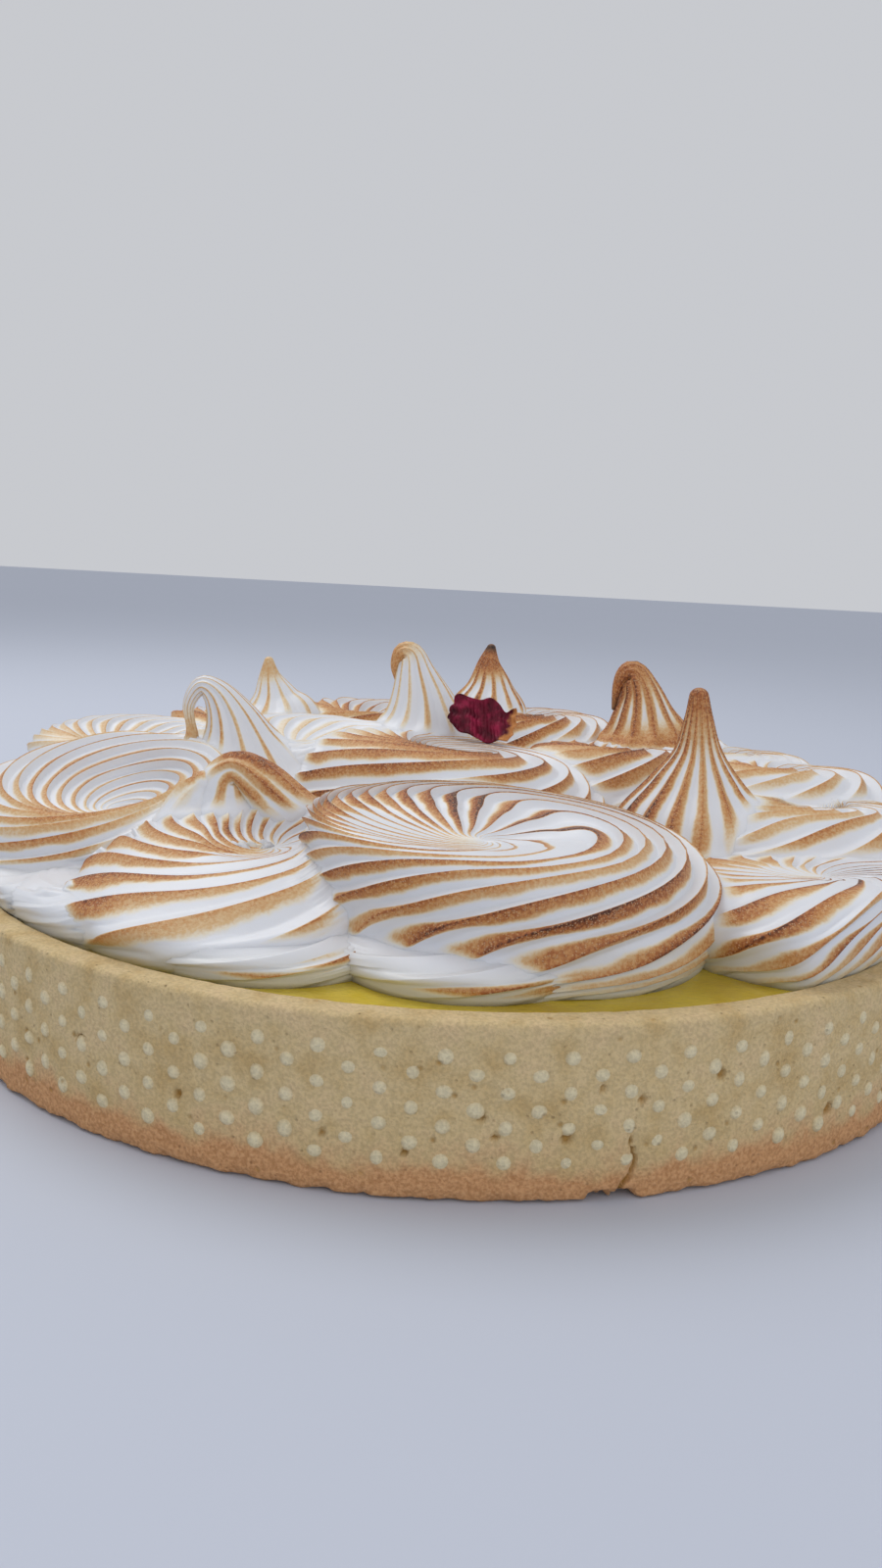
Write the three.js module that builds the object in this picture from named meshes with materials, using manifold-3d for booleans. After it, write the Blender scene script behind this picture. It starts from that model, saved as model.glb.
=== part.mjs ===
// A lemon meringue tart: a straight-sided shortcrust shell, a lemon curd filling, and a torched
// meringue topping of piped rosettes and peaked kisses, with a rose petal.
//
// Millimetres, +Z up. The origin is the middle of the flat underside of the shell. -Y is the front.

import * as THREE from "three";
import { mergeVertices } from "three/addons/utils/BufferGeometryUtils.js";
import Module from "manifold-3d";

const wasm = await Module();
wasm.setup();

// ---------------------------------------------------------------- driving dimensions

// The shortcrust shell.
const CRUST_RADIUS = 120;
const CRUST_HEIGHT = 32.4;
const CRUST_WALL = 6;
const CRUST_FLOOR = 6;
const RIM_BEVEL = 0.9;
const SHELL_SEGMENTS = 84;
const FOOT_BEVEL = 0.7;

// A drying crack that runs up the wall from the foot, a little right of the front.
const CRACK = { turn: 19.5, height: 12, width: 1.1, depth: 0.9, slant: 6 };

// The filling, and the level that the piped meringue stands on.
const CLEARANCE = 0.3;
const CURD_TOP = 30.9;
const PIPING_LEVEL = CURD_TOP + CLEARANCE;

// Meringue is held back from the shell by a soft limit that opens with height.
const LIMIT_AT_CURD = 113.5;
const LIMIT_SLOPE = 0.3;
const LIMIT_SOFTNESS = 5;
const LIMIT_RISE = 20;

// The room that a placed piece keeps free of its neighbours is its own smooth form, this much larger
// than the crests of its ridges, with this many columns.
const ROOM_GAP = 0.45;
const ROOM_COLUMNS = 20;

// Shape of a rosette from the eye of its hollow (first) to its foot (last). `reach` is a share of
// the radius, with the lip's own share put in where the table says lip; `rise` is a share of the
// height, less `dip` of the hollow's depth; `turn` is the twist of the ridges in degrees, and
// `relief` is the depth of the ridges as a share of their full depth.
const ROSETTE_STATIONS = [
  { lip: 0.0, outer: 0, rise: 1.0, dip: 1.0, turn: 0, relief: 0.0 },
  { lip: 0.28, outer: 0, rise: 1.0, dip: 0.9, turn: 25, relief: 0.3 },
  { lip: 0.68, outer: 0, rise: 1.0, dip: 0.45, turn: 55, relief: 0.7 },
  { lip: 1.0, outer: 0, rise: 1.0, dip: 0, turn: 75, relief: 0.8 },
  { lip: 0.5, outer: 0.56, rise: 0.95, dip: 0, turn: 140, relief: 1.0 },
  { lip: 0, outer: 1.0, rise: 0.6, dip: 0, turn: 178, relief: 1.0 },
  { lip: 0, outer: 0.98, rise: 0.22, dip: 0, turn: 195, relief: 0.7 },
  { lip: 0, outer: 0.95, rise: 0, dip: 0, turn: 205, relief: 0.15 },
];

// Where along those stations the facets of a rosette have their rings.
const ROSETTE_RINGS = [0, 1.7, 3, 3.6, 4.3, 5, 7];
const WIDEST = 5; // the station where a rosette is widest, whose ridges stand straight out

// What a rosette has where its own line below says nothing.
const PLAIN_ROSETTE = { lip: 0.5, hollow: 0, lean: [0, 0], eye: [0, 0], oval: [0, 0] };

const RIDGE_DEPTH = 2.2;
const RIDGE_GROOVE = 0.64; // the groove's place between one ridge crest and the next

// The piped rosettes, in the order in which they take their room. `lean` is the slope of the top
// across +X and +Y, `eye` is the offset of the hollow, and `oval` stretches the plan at an angle.
const ROSETTES = [
  { name: "front", at: [13, -66], radius: 40.5, height: 24, lip: 0.6, hollow: 5, ridges: 22,
    lean: [-0.02, 0.05], eye: [-8, 2], oval: [0.05, 165] },
  { name: "front_left", at: [-43.5, -69], radius: 32.5, height: 19, lip: 0.44, hollow: 4, ridges: 18,
    lean: [0.22, 0.2], eye: [7, 9] },
  { name: "left", at: [-84, -25], radius: 34, height: 22, lip: 0.64, hollow: 7, ridges: 20,
    lean: [0.1, 0.24], eye: [4, -4] },
  { name: "front_right", at: [80, -56], radius: 38, height: 15.5, lip: 0.4, hollow: 1, ridges: 18,
    lean: [0.06, -0.1] },
  { name: "right", at: [90, -9], radius: 31, height: 21.5, lip: 0.34, hollow: 1.5, ridges: 16,
    lean: [0, -0.05] },
  { name: "centre", at: [-1, 4], radius: 41, height: 29.5, lip: 0.36, hollow: 1.5, ridges: 16,
    lean: [-0.08, -0.04] },
  { name: "centre_right", at: [46, 32], radius: 32, height: 27.5, lip: 0.35, hollow: 1, ridges: 16,
    lean: [0, -0.08] },
  { name: "centre_left", at: [-42, 22], radius: 32, height: 29.5, lip: 0.6, hollow: 5, ridges: 16,
    lean: [0, 0.04], depth: 0.9 },
  { name: "middle_left", at: [-25, -32], radius: 24, height: 22, lip: 0.4, hollow: 2, ridges: 14,
    lean: [0, 0.05] },
  { name: "back_left", at: [-91, 32], radius: 31, height: 25, lip: 0.6, hollow: 5, ridges: 18,
    lean: [0, 0.06] },
  { name: "right_middle", at: [90, 24], radius: 31, height: 25.5, lip: 0.34, hollow: 1.5, ridges: 16,
    lean: [0, -0.08] },
  { name: "right_back", at: [84, 56], radius: 27, height: 24.5, lip: 0.34, hollow: 1.5, ridges: 16,
    lean: [0, -0.05] },
  { name: "back", at: [24, 75], radius: 31, height: 31, lip: 0.36, hollow: 1.5, ridges: 16,
    lean: [0, -0.03] },
  { name: "back_centre", at: [-27, 81], radius: 31, height: 29.5, lip: 0.5, hollow: 5, ridges: 16,
    lean: [0, 0] },
  { name: "back_right", at: [64, 82], radius: 27, height: 25, lip: 0.5, hollow: 4, ridges: 14,
    lean: [0, 0] },
  { name: "far_left", at: [-68, 75], radius: 26, height: 26, lip: 0.5, hollow: 4, ridges: 14,
    lean: [0, 0] },
];

// Low first turns of piping that show under some of the rosettes; each belongs to the one it names.
const FEET = [
  { under: "front", at: [4, -82], radius: 27, height: 7, ridges: 8, depth: 1.0 },
  { under: "front_left", at: [-34, -80], radius: 26, height: 6.5, ridges: 8, depth: 1.0 },
  { under: "left", at: [-79, -48], radius: 32, height: 9, ridges: 10, depth: 1.2 },
];

// The kisses. `spine` goes from foot to tip: distance towards `heading` (degrees from +X), height
// above the underside of the tart, and radius.
const KISSES = [
  { name: "right", at: [60, -11], heading: 0, ridges: 16, turn: 10,
    spine: [[0, 31.2, 19], [0, 42, 20], [0, 49.5, 17.5], [0, 58, 11.5], [0, 66, 6.2], [-0.5, 74, 3.2], [-1, 80, 1.2]] },
  { name: "left", at: [-52, -3], heading: 180, ridges: 12, turn: 40,
    spine: [[-1, 31.2, 20], [-1, 42, 21], [0, 49.5, 17], [2, 58, 10.5], [5, 66.5, 6.2], [8.5, 72, 3.8],
      [12.5, 74, 2.6], [16.3, 68.5, 1.7], [16.6, 58, 0.9]] },
  { name: "centre", at: [-9, 40], heading: 180, ridges: 12, turn: 40,
    spine: [[0, 50, 13], [0, 60, 13.5], [1, 68, 9.2], [3, 76, 5.6], [5, 81.5, 3.6], [8, 82, 2.4],
      [9.5, 78, 1.7], [9, 74, 1.1]] },
  { name: "back_left", at: [-54, 60], heading: 180, ridges: 12, turn: 20,
    spine: [[0, 50, 11], [0, 60, 12], [1, 65.5, 6.6], [2.5, 71, 3.3], [3, 76, 1.3]] },
  { name: "back", at: [10, 76], heading: 0, ridges: 12, turn: 20,
    spine: [[0, 54, 10], [0, 64, 11], [0, 70.5, 7], [-0.5, 77, 3.8], [0, 82.5, 1.5]] },
  { name: "back_right", at: [56, 50], heading: 180, ridges: 12, turn: 30,
    spine: [[0, 50, 13], [0, 59, 13.5], [1, 66, 9], [3, 73.5, 5.6], [6, 79, 3.9], [9, 78.4, 2.6],
      [11, 74.5, 1.7], [11, 70, 1.1]] },
];

// A small folded peak that is left in the hollow of one rosette.
const FOLDED_PEAK = {
  inside: "front_left", at: [-50, -46], heading: -10, ridges: 8, turn: 30,
  spine: [[0, 44, 10], [0, 50, 8.5], [0, 55, 5.2], [1.5, 58.6, 3.6], [6, 59, 3], [12, 56.2, 2.6], [19, 52, 2.2]],
};

const KISS_RELIEF = 0.13; // ridge depth as a share of the kiss's own radius
const KISS_RELIEF_MOST = 1.4;
const TIP_ROUNDING = 0.8; // how far a tip runs on past the end of its spine, as a share of its radius

// The rose petal.
const PETAL = {
  centre: [7.5, 20, 66.3], width: 18, height: 14, thickness: 0.7, tilt: 38, roll: -14, columns: 6, rows: 5,
};

// How near to each other vertices are joined in a fresh shape and in a cut one, and how far the
// surface of a cut one may move while its slivers are taken off.
const WELD = 1e-4;
const CUT_WELD = 2e-3;
const CUT_TOLERANCE = 0.05;

const NORMAL_STEP = 1e-3;

// ---------------------------------------------------------------- meshes and solids

/** Drops everything but position, joins equal vertices and leaves out triangles without area. */
function welded(geometry, reach) {
  geometry.deleteAttribute("normal");
  geometry.deleteAttribute("uv");
  const joined = mergeVertices(geometry, reach);
  const index = joined.getIndex().array;
  const kept = [];
  for (let i = 0; i < index.length; i += 3) {
    const [a, b, c] = [index[i], index[i + 1], index[i + 2]];
    if (a !== b && b !== c && c !== a) kept.push(a, b, c);
  }
  joined.setIndex(kept);
  return joined;
}

/** Signed volume of a closed geometry: negative where its faces point inwards. */
function signedVolume(geometry) {
  const position = geometry.getAttribute("position");
  const index = geometry.getIndex().array;
  const [a, b, c] = [new THREE.Vector3(), new THREE.Vector3(), new THREE.Vector3()];
  let sum = 0;
  for (let i = 0; i < index.length; i += 3) {
    a.fromBufferAttribute(position, index[i]);
    b.fromBufferAttribute(position, index[i + 1]);
    c.fromBufferAttribute(position, index[i + 2]);
    sum += a.dot(b.cross(c)) / 6;
  }
  return sum;
}

/** A solid for joining and cutting, from any closed three.js geometry. */
function toSolid(geometry, reach = WELD) {
  const closed = welded(geometry, reach);
  const triangles = Uint32Array.from(closed.getIndex().array);
  if (signedVolume(closed) < 0) {
    for (let i = 0; i < triangles.length; i += 3) {
      [triangles[i + 1], triangles[i + 2]] = [triangles[i + 2], triangles[i + 1]];
    }
  }
  const vertices = Float32Array.from(closed.getAttribute("position").array);
  return new wasm.Manifold(new wasm.Mesh({ numProp: 3, vertProperties: vertices, triVerts: triangles }));
}

/** The three.js geometry of a solid. */
function toGeometry(solid) {
  const mesh = solid.getMesh();
  const geometry = new THREE.BufferGeometry();
  geometry.setAttribute("position", new THREE.BufferAttribute(Float32Array.from(mesh.vertProperties), 3));
  geometry.setIndex(Array.from(mesh.triVerts));
  geometry.computeVertexNormals();
  return geometry;
}

/** The largest separate body of a solid: cutting can leave loose scraps, which are dropped. */
function largestBody(solid) {
  const bodies = solid.decompose();
  return bodies.reduce((best, body) => (body.volume() > best.volume() ? body : best));
}

/** Takes slivers off a cut solid, which can free a scrap that hung on by a thread. */
function cleaned(solid) {
  const plain = largestBody(solid).simplify(CUT_TOLERANCE);
  return largestBody(toSolid(toGeometry(plain), CUT_WELD));
}

/**
 * A closed lathe blank with `rings` levels, whose vertices are then put in place one by one.
 * `place(column, ring)` gives the point; all columns must agree on the first and the last ring.
 */
function turned(columns, rings, place) {
  const profile = [];
  for (let ring = 0; ring < rings; ring += 1) {
    const onAxis = ring === 0 || ring === rings - 1;
    profile.push(new THREE.Vector2(onAxis ? 0 : 1, ring));
  }
  const geometry = new THREE.LatheGeometry(profile, columns);
  const position = geometry.getAttribute("position");
  for (let column = 0; column <= columns; column += 1) {
    for (let ring = 0; ring < rings; ring += 1) {
      const point = place(column % columns, ring);
      position.setXYZ(column * rings + ring, point.x, point.y, point.z);
    }
  }
  return geometry;
}

/** Smooth value through evenly spaced knots at place t, counted in knots. */
function through(knots, t) {
  const last = knots.length - 1;
  const k = Math.min(Math.floor(t), last - 1);
  const s = t - k;
  const [p0, p1, p2, p3] = [knots[Math.max(k - 1, 0)], knots[k], knots[k + 1], knots[Math.min(k + 2, last)]];
  const [m1, m2] = [(p2 - p0) / 2, (p3 - p1) / 2];
  const [s2, s3] = [s * s, s * s * s];
  return (2 * s3 - 3 * s2 + 1) * p1 + (s3 - 2 * s2 + s) * m1 + (3 * s2 - 2 * s3) * p2 + (s3 - s2) * m2;
}

/** Draws a point back inside the round room that the shell leaves, more softly the higher it is. */
function heldIn(point) {
  const reach = Math.hypot(point.x, point.y);
  const rise = THREE.MathUtils.clamp(point.z - PIPING_LEVEL, 0, LIMIT_RISE);
  const free = LIMIT_AT_CURD + LIMIT_SLOPE * rise - LIMIT_SOFTNESS;
  if (reach <= free) return point;
  const held = free + LIMIT_SOFTNESS * Math.tanh((reach - free) / LIMIT_SOFTNESS);
  point.x *= held / reach;
  point.y *= held / reach;
  return point;
}

/** Unit normal of a surface given by a function of two numbers, by central differences. */
function normalOf(surface, u, v) {
  const alongU = surface(u + NORMAL_STEP, v).sub(surface(u - NORMAL_STEP, v));
  const alongV = surface(u, v + NORMAL_STEP).sub(surface(u, v - NORMAL_STEP));
  return alongU.cross(alongV).normalize();
}

/** The angle of a ridge's crest (even columns) or groove (odd columns). */
function columnAngle(column, ridges) {
  const ridge = Math.floor(column / 2);
  const share = column % 2 === 0 ? 0 : RIDGE_GROOVE;
  return (2 * Math.PI * (ridge + share)) / ridges;
}

// ---------------------------------------------------------------- piped meringue

/** The twist of a rosette's ridges at a station, in radians. */
function twistAt(station) {
  return THREE.MathUtils.degToRad(through(ROSETTE_STATIONS.map((s) => s.turn), station));
}

/** The smooth form of a rosette, without its ridges: a point for a station and an angle. */
function rosetteSurface(rosette) {
  const { at, radius, height, lip, hollow, lean, eye, oval } = { ...PLAIN_ROSETTE, ...rosette };
  const reaches = ROSETTE_STATIONS.map((s) => s.lip * lip + s.outer);
  const rises = ROSETTE_STATIONS.map((s) => s.rise - (s.dip * hollow) / height);
  const ovalHeading = THREE.MathUtils.degToRad(oval[1]);
  return (station, angle) => {
    const reach = through(reaches, station);
    const rise = through(rises, station);
    const heading = angle - twistAt(station);
    const stretch = 1 + oval[0] * Math.cos(2 * (heading - ovalHeading));
    const inward = Math.max(1 - reach, 0);
    const dx = inward * eye[0] + radius * reach * stretch * Math.cos(heading);
    const dy = inward * eye[1] + radius * reach * stretch * Math.sin(heading);
    const z = PIPING_LEVEL + height * rise + Math.max(rise, 0) * (lean[0] * dx + lean[1] * dy);
    return new THREE.Vector3(at[0] + dx, at[1] + dy, z);
  };
}

/** A closed body over a rosette's form, whose points stand off it by `lift` and are then held. */
function bodyOverRosette(rosette, { columns, angleOf, lift, sink, hold }) {
  const surface = rosetteSurface(rosette);
  const rings = ROSETTE_RINGS.length;
  const lastStation = ROSETTE_STATIONS.length - 1;
  const place = (column, ring) => {
    if (ring === rings) return hold(new THREE.Vector3(...rosette.at, PIPING_LEVEL - sink));
    const station = ROSETTE_RINGS[ring];
    const stand = lift(station, column);
    if (ring === 0) return surface(0, 0).add(new THREE.Vector3(0, 0, stand));
    const angle = angleOf(column, station);
    const outward = normalOf(surface, Math.min(station, lastStation - NORMAL_STEP), angle);
    if (station === WIDEST) outward.setZ(0).normalize();
    const point = surface(station, angle).addScaledVector(outward, stand);
    if (ring === rings - 1) point.z = PIPING_LEVEL - sink;
    return hold(point);
  };
  return toSolid(turned(columns, rings + 1, place));
}

/** How far the crests of a rosette's ridges stand above its smooth form at a station. */
function rosetteRelief(rosette) {
  const shares = ROSETTE_STATIONS.map((s) => s.relief);
  const depth = rosette.depth ?? RIDGE_DEPTH;
  return (station) => (depth / 2) * through(shares, station);
}

/** A rosette with its spiral ridges. */
function rosetteSolid(rosette) {
  const relief = rosetteRelief(rosette);
  return bodyOverRosette(rosette, {
    columns: 2 * rosette.ridges,
    angleOf: (column) => -columnAngle(column, rosette.ridges),
    lift: (station, column) => (column % 2 === 0 ? 1 : -1) * relief(station),
    sink: 0,
    hold: heldIn,
  });
}

/** The smooth room that a rosette keeps free of its neighbours, whose columns don't twist. */
function rosetteRoom(rosette) {
  const relief = rosetteRelief(rosette);
  return bodyOverRosette(rosette, {
    columns: ROOM_COLUMNS,
    angleOf: (column, station) => (2 * Math.PI * column) / ROOM_COLUMNS + twistAt(station),
    lift: (station) => relief(station) + ROOM_GAP + facetSag(rosette.radius),
    sink: ROOM_GAP,
    hold: (point) => point,
  });
}

/** How far the middle of a room's facet lies inside the round form of the given radius. */
function facetSag(radius) {
  return radius * (1 - Math.cos(Math.PI / ROOM_COLUMNS));
}

/** The smooth form of a kiss: a round body swept up its spine, which bends in one upright plane. */
function kissSurface(kiss) {
  const [along, height, radius] = [0, 1, 2].map((k) => kiss.spine.map((knot) => knot[k]));
  const last = kiss.spine.length - 1;
  const heading = THREE.MathUtils.degToRad(kiss.heading);
  const turn = THREE.MathUtils.degToRad(kiss.turn);
  const forward = new THREE.Vector3(Math.cos(heading), Math.sin(heading), 0);
  const sideways = new THREE.Vector3(-Math.sin(heading), Math.cos(heading), 0);
  const up = new THREE.Vector3(0, 0, 1);
  return (station, angle, swell = 0) => {
    const before = Math.max(station - 0.01, 0);
    const after = Math.min(station + 0.01, last);
    const run = through(along, after) - through(along, before);
    const climb = through(height, after) - through(height, before);
    const length = Math.hypot(run, climb);
    const r = through(radius, station) + swell;
    const heading2 = angle + (turn * station) / last;
    const across = r * Math.cos(heading2);
    return new THREE.Vector3(kiss.at[0], kiss.at[1], 0)
      .addScaledVector(forward, through(along, station) + (across * climb) / length)
      .addScaledVector(up, through(height, station) - (across * run) / length)
      .addScaledVector(sideways, r * Math.sin(heading2));
  };
}

/** A closed body over a kiss's form, whose radius is larger by `lift`, with a rounded tip. */
function bodyOverKiss(kiss, { columns, angleOf, lift, grow }) {
  const surface = kissSurface(kiss);
  const last = kiss.spine.length - 1;
  const rings = kiss.spine.length;
  const tipRadius = kiss.spine[last][2];
  const foot = surface(0, 0, -kiss.spine[0][2]);
  const tip = surface(last, 0, -tipRadius);
  const onward = tip.clone().sub(surface(last - 0.1, 0, -through(kiss.spine.map((knot) => knot[2]), last - 0.1)));
  tip.addScaledVector(onward.normalize(), tipRadius * TIP_ROUNDING + grow);
  const place = (column, ring) => {
    if (ring === 0) return foot.clone();
    if (ring === rings + 1) return tip.clone();
    return surface(ring - 1, angleOf(column), lift(ring - 1, column));
  };
  return toSolid(turned(columns, rings + 2, place));
}

/** How far the crests of a kiss's ridges stand above its smooth form at a station. */
function kissRelief(kiss) {
  return (station) => Math.min(kiss.spine[station][2] * KISS_RELIEF, KISS_RELIEF_MOST) / 2;
}

/** A kiss with its ridges. */
function kissSolid(kiss) {
  const relief = kissRelief(kiss);
  return bodyOverKiss(kiss, {
    columns: 2 * kiss.ridges,
    angleOf: (column) => columnAngle(column, kiss.ridges),
    lift: (station, column) => (column % 2 === 0 ? 1 : -1) * relief(station),
    grow: 0,
  });
}

/** The smooth room that a kiss keeps free of its neighbours. */
function kissRoom(kiss) {
  const relief = kissRelief(kiss);
  return bodyOverKiss(kiss, {
    columns: ROOM_COLUMNS,
    angleOf: (column) => (2 * Math.PI * column) / ROOM_COLUMNS,
    lift: (station) => relief(station) + ROOM_GAP + facetSag(kiss.spine[station][2]),
    grow: ROOM_GAP,
  });
}

/** Puts pieces down one after another, each cut clear of all that are already there. */
class Table {
  constructor() {
    this.taken = [];
  }

  put(solid, room) {
    let rest = solid;
    for (const other of this.taken) rest = rest.subtract(other);
    this.taken.push(room);
    return cleaned(rest);
  }
}

/** Every piece of meringue, as { name, solid }. */
function pipeMeringue() {
  const table = new Table();
  const pieces = [];
  for (const rosette of ROSETTES) {
    let solid = rosetteSolid(rosette);
    let room = rosetteRoom(rosette);
    for (const foot of FEET.filter((one) => one.under === rosette.name)) {
      solid = solid.add(rosetteSolid(foot));
      room = room.add(rosetteRoom(foot));
    }
    if (FOLDED_PEAK.inside === rosette.name) {
      solid = solid.add(kissSolid(FOLDED_PEAK));
      room = room.add(kissRoom(FOLDED_PEAK));
    }
    pieces.push({ name: `meringue_rosette_${rosette.name}`, solid: table.put(solid, room) });
  }
  for (const kiss of KISSES) {
    const solid = table.put(kissSolid(kiss), kissRoom(kiss));
    pieces.push({ name: `meringue_kiss_${kiss.name}`, solid });
  }
  return pieces;
}

// ---------------------------------------------------------------- shell, filling and petal

/** Round blank from a profile of [radius, height] pairs that starts and ends on the axis. */
function lathed(profile, segments) {
  const points = profile.map(([radius, height]) => new THREE.Vector2(radius, height));
  const geometry = new THREE.LatheGeometry(points, segments);
  geometry.rotateX(Math.PI / 2);
  return geometry;
}

/** A narrow upright wedge that opens outwards, to cut the crack. */
function crackSolid() {
  const { turn, height, width, depth, slant } = CRACK;
  const outline = new THREE.Shape([
    new THREE.Vector2(-depth, 0),
    new THREE.Vector2(depth, -width),
    new THREE.Vector2(depth, width),
  ]);
  const wedge = new THREE.ExtrudeGeometry(outline, { depth: height + 2, bevelEnabled: false });
  wedge.translate(0, 0, -2);
  wedge.rotateX(THREE.MathUtils.degToRad(slant));
  wedge.translate(CRUST_RADIUS * Math.cos(Math.PI / SHELL_SEGMENTS), 0, 0);
  wedge.rotateZ(THREE.MathUtils.degToRad(turn - 90));
  return toSolid(wedge);
}

/** The shell: a cup with a flat rim, bevelled at its rim and foot. */
function crustSolid() {
  const r = CRUST_RADIUS;
  const h = CRUST_HEIGHT;
  const inner = r - CRUST_WALL;
  const outside = [[0, 0], [r - FOOT_BEVEL, 0], [r, FOOT_BEVEL], [r, h - RIM_BEVEL], [r - RIM_BEVEL, h], [0, h]];
  const inside = [[0, CRUST_FLOOR], [inner, CRUST_FLOOR], [inner, h + 1], [0, h + 1]];
  return toSolid(lathed(outside, SHELL_SEGMENTS))
    .subtract(toSolid(lathed(inside, SHELL_SEGMENTS)))
    .subtract(crackSolid());
}

/** The filling: a full disc of curd. */
function curdSolid() {
  const inner = CRUST_RADIUS - CRUST_WALL - CLEARANCE;
  const floor = CRUST_FLOOR + CLEARANCE;
  const profile = [[0, floor], [inner, floor], [inner, CURD_TOP], [0, CURD_TOP]];
  return toSolid(lathed(profile, SHELL_SEGMENTS));
}

/** Outline of the petal: how far it reaches from its middle line at height share s, -1 to 1. */
function petalHalfWidth(s) {
  return Math.sqrt(Math.max(1 - s * s * 0.82, 0)) * (1 + 0.12 * Math.sin(5 * s + 1));
}

/** The petal: a thin curled sheet with waves, both faces split alike. */
function petalSolid() {
  const { centre, width, height, thickness, tilt, roll, columns, rows } = PETAL;
  const sheet = new THREE.BoxGeometry(2, 2, 2, columns, rows, 1);
  const position = sheet.getAttribute("position");
  for (let i = 0; i < position.count; i += 1) {
    const s = position.getY(i);
    const t = position.getX(i) * petalHalfWidth(s);
    const wave = 1.1 * Math.sin(4.2 * t + 1.4 * s) + 1.5 * t * t - 0.9 * Math.sin(3.1 * s + 0.6);
    position.setXYZ(i, (t * width) / 2, (s * height) / 2, wave + (position.getZ(i) * thickness) / 2);
  }
  sheet.rotateZ(THREE.MathUtils.degToRad(roll));
  sheet.rotateX(THREE.MathUtils.degToRad(90 - tilt));
  sheet.translate(...centre);
  return toSolid(sheet);
}

// ---------------------------------------------------------------- the tart

const MATERIALS = {
  crust: new THREE.MeshStandardMaterial({ color: 0xd9c48c, roughness: 0.9, metalness: 0 }),
  curd: new THREE.MeshStandardMaterial({ color: 0xd6bd3a, roughness: 0.25, metalness: 0 }),
  meringue: new THREE.MeshStandardMaterial({ color: 0xf2efec, roughness: 0.55, metalness: 0 }),
  petal: new THREE.MeshStandardMaterial({ color: 0x6d0f2b, roughness: 0.6, metalness: 0 }),
};

const tart = new THREE.Group();

function addPiece(name, solid, material) {
  const mesh = new THREE.Mesh(toGeometry(solid), material);
  mesh.name = name;
  tart.add(mesh);
}

addPiece("crust", crustSolid(), MATERIALS.crust);
addPiece("lemon_curd", curdSolid(), MATERIALS.curd);
for (const { name, solid } of pipeMeringue()) addPiece(name, solid, MATERIALS.meringue);
addPiece("rose_petal", petalSolid(), MATERIALS.petal);

export default tart;
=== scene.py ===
"""Looks of a torched lemon meringue tart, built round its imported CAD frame.

Lengths in the tables are millimetres, and finished meshes are metres. -Y is the front.
"""

from __future__ import annotations

import logging
import math
from dataclasses import dataclass, field
from enum import Enum

import bmesh
import bpy
import numpy as np
from bpy.types import ID, Material, Mesh, Node, NodeSocket, NodeTree, Object
from mathutils import Matrix, Vector, noise
from mathutils.bvhtree import BVHTree
from numpy import ndarray


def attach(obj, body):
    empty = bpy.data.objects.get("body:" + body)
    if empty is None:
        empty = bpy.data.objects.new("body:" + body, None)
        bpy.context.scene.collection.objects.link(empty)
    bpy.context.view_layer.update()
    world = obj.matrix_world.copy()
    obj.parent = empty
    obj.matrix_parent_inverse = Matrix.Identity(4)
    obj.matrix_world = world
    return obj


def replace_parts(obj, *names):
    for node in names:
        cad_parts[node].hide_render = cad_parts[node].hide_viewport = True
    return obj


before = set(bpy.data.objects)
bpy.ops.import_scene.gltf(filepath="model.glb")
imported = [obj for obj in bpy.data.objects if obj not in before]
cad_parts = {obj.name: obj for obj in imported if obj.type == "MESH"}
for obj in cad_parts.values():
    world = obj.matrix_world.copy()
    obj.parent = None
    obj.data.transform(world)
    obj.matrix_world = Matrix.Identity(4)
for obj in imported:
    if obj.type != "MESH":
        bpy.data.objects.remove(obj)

Pair = tuple[float, float]
Triple = tuple[float, float, float]
Colour = tuple[float, float, float, float]
Curl = tuple[float, float, float, float]

LOG = logging.getLogger("tart")
MM = 0.001
DEGREES_IN_RADIAN = 57.3
BODY = "root"

# Radius of a lathe blank, before its points are put in place.
BLANK_RADIUS = 10.0

# The shell and the filling.
CRUST_RADIUS = 120.0
CRUST_HEIGHT = 32.4
CRUST_WALL = 6.0
CRUST_FLOOR = 6.0
CURD_TOP = 30.9
PIPING_LEVEL = 31.2

# Radii over which parts of the shell begin or end, and the strength of its broad, middle and fine grain.
OUTER_FACE = (117.0, 119.5)
RIM_FACE = (113.0, 115.0)
FOOT_FACE = (113.0, 118.0)
FOOT_LIFT = (112.0, 118.0)
LIP_FROM = (113.0, 114.2)
LIP_TO = (116.0, 114.4)
WALL_GRAIN = (0.25, 0.14, 0.10)
RIM_GRAIN = (0.10, 0.10, 0.07)

# The raised dots: their seed, the first one's turn, and the range of each one's size as shares of the usual.
DOT_SEED = 77
DOT_PHASE = 0.012
DOT_WIDTHS = (0.86, 1.1)
DOT_HEIGHTS = (0.86, 1.12)
DOT_RISES = (0.6, 1.15)

# Meringue is held back from the shell by a soft limit that opens with height.
LIMIT_AT_CURD = 113.5
LIMIT_SLOPE = 0.3
LIMIT_SOFTNESS = 5.0
LIMIT_RISE = 20.0

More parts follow.
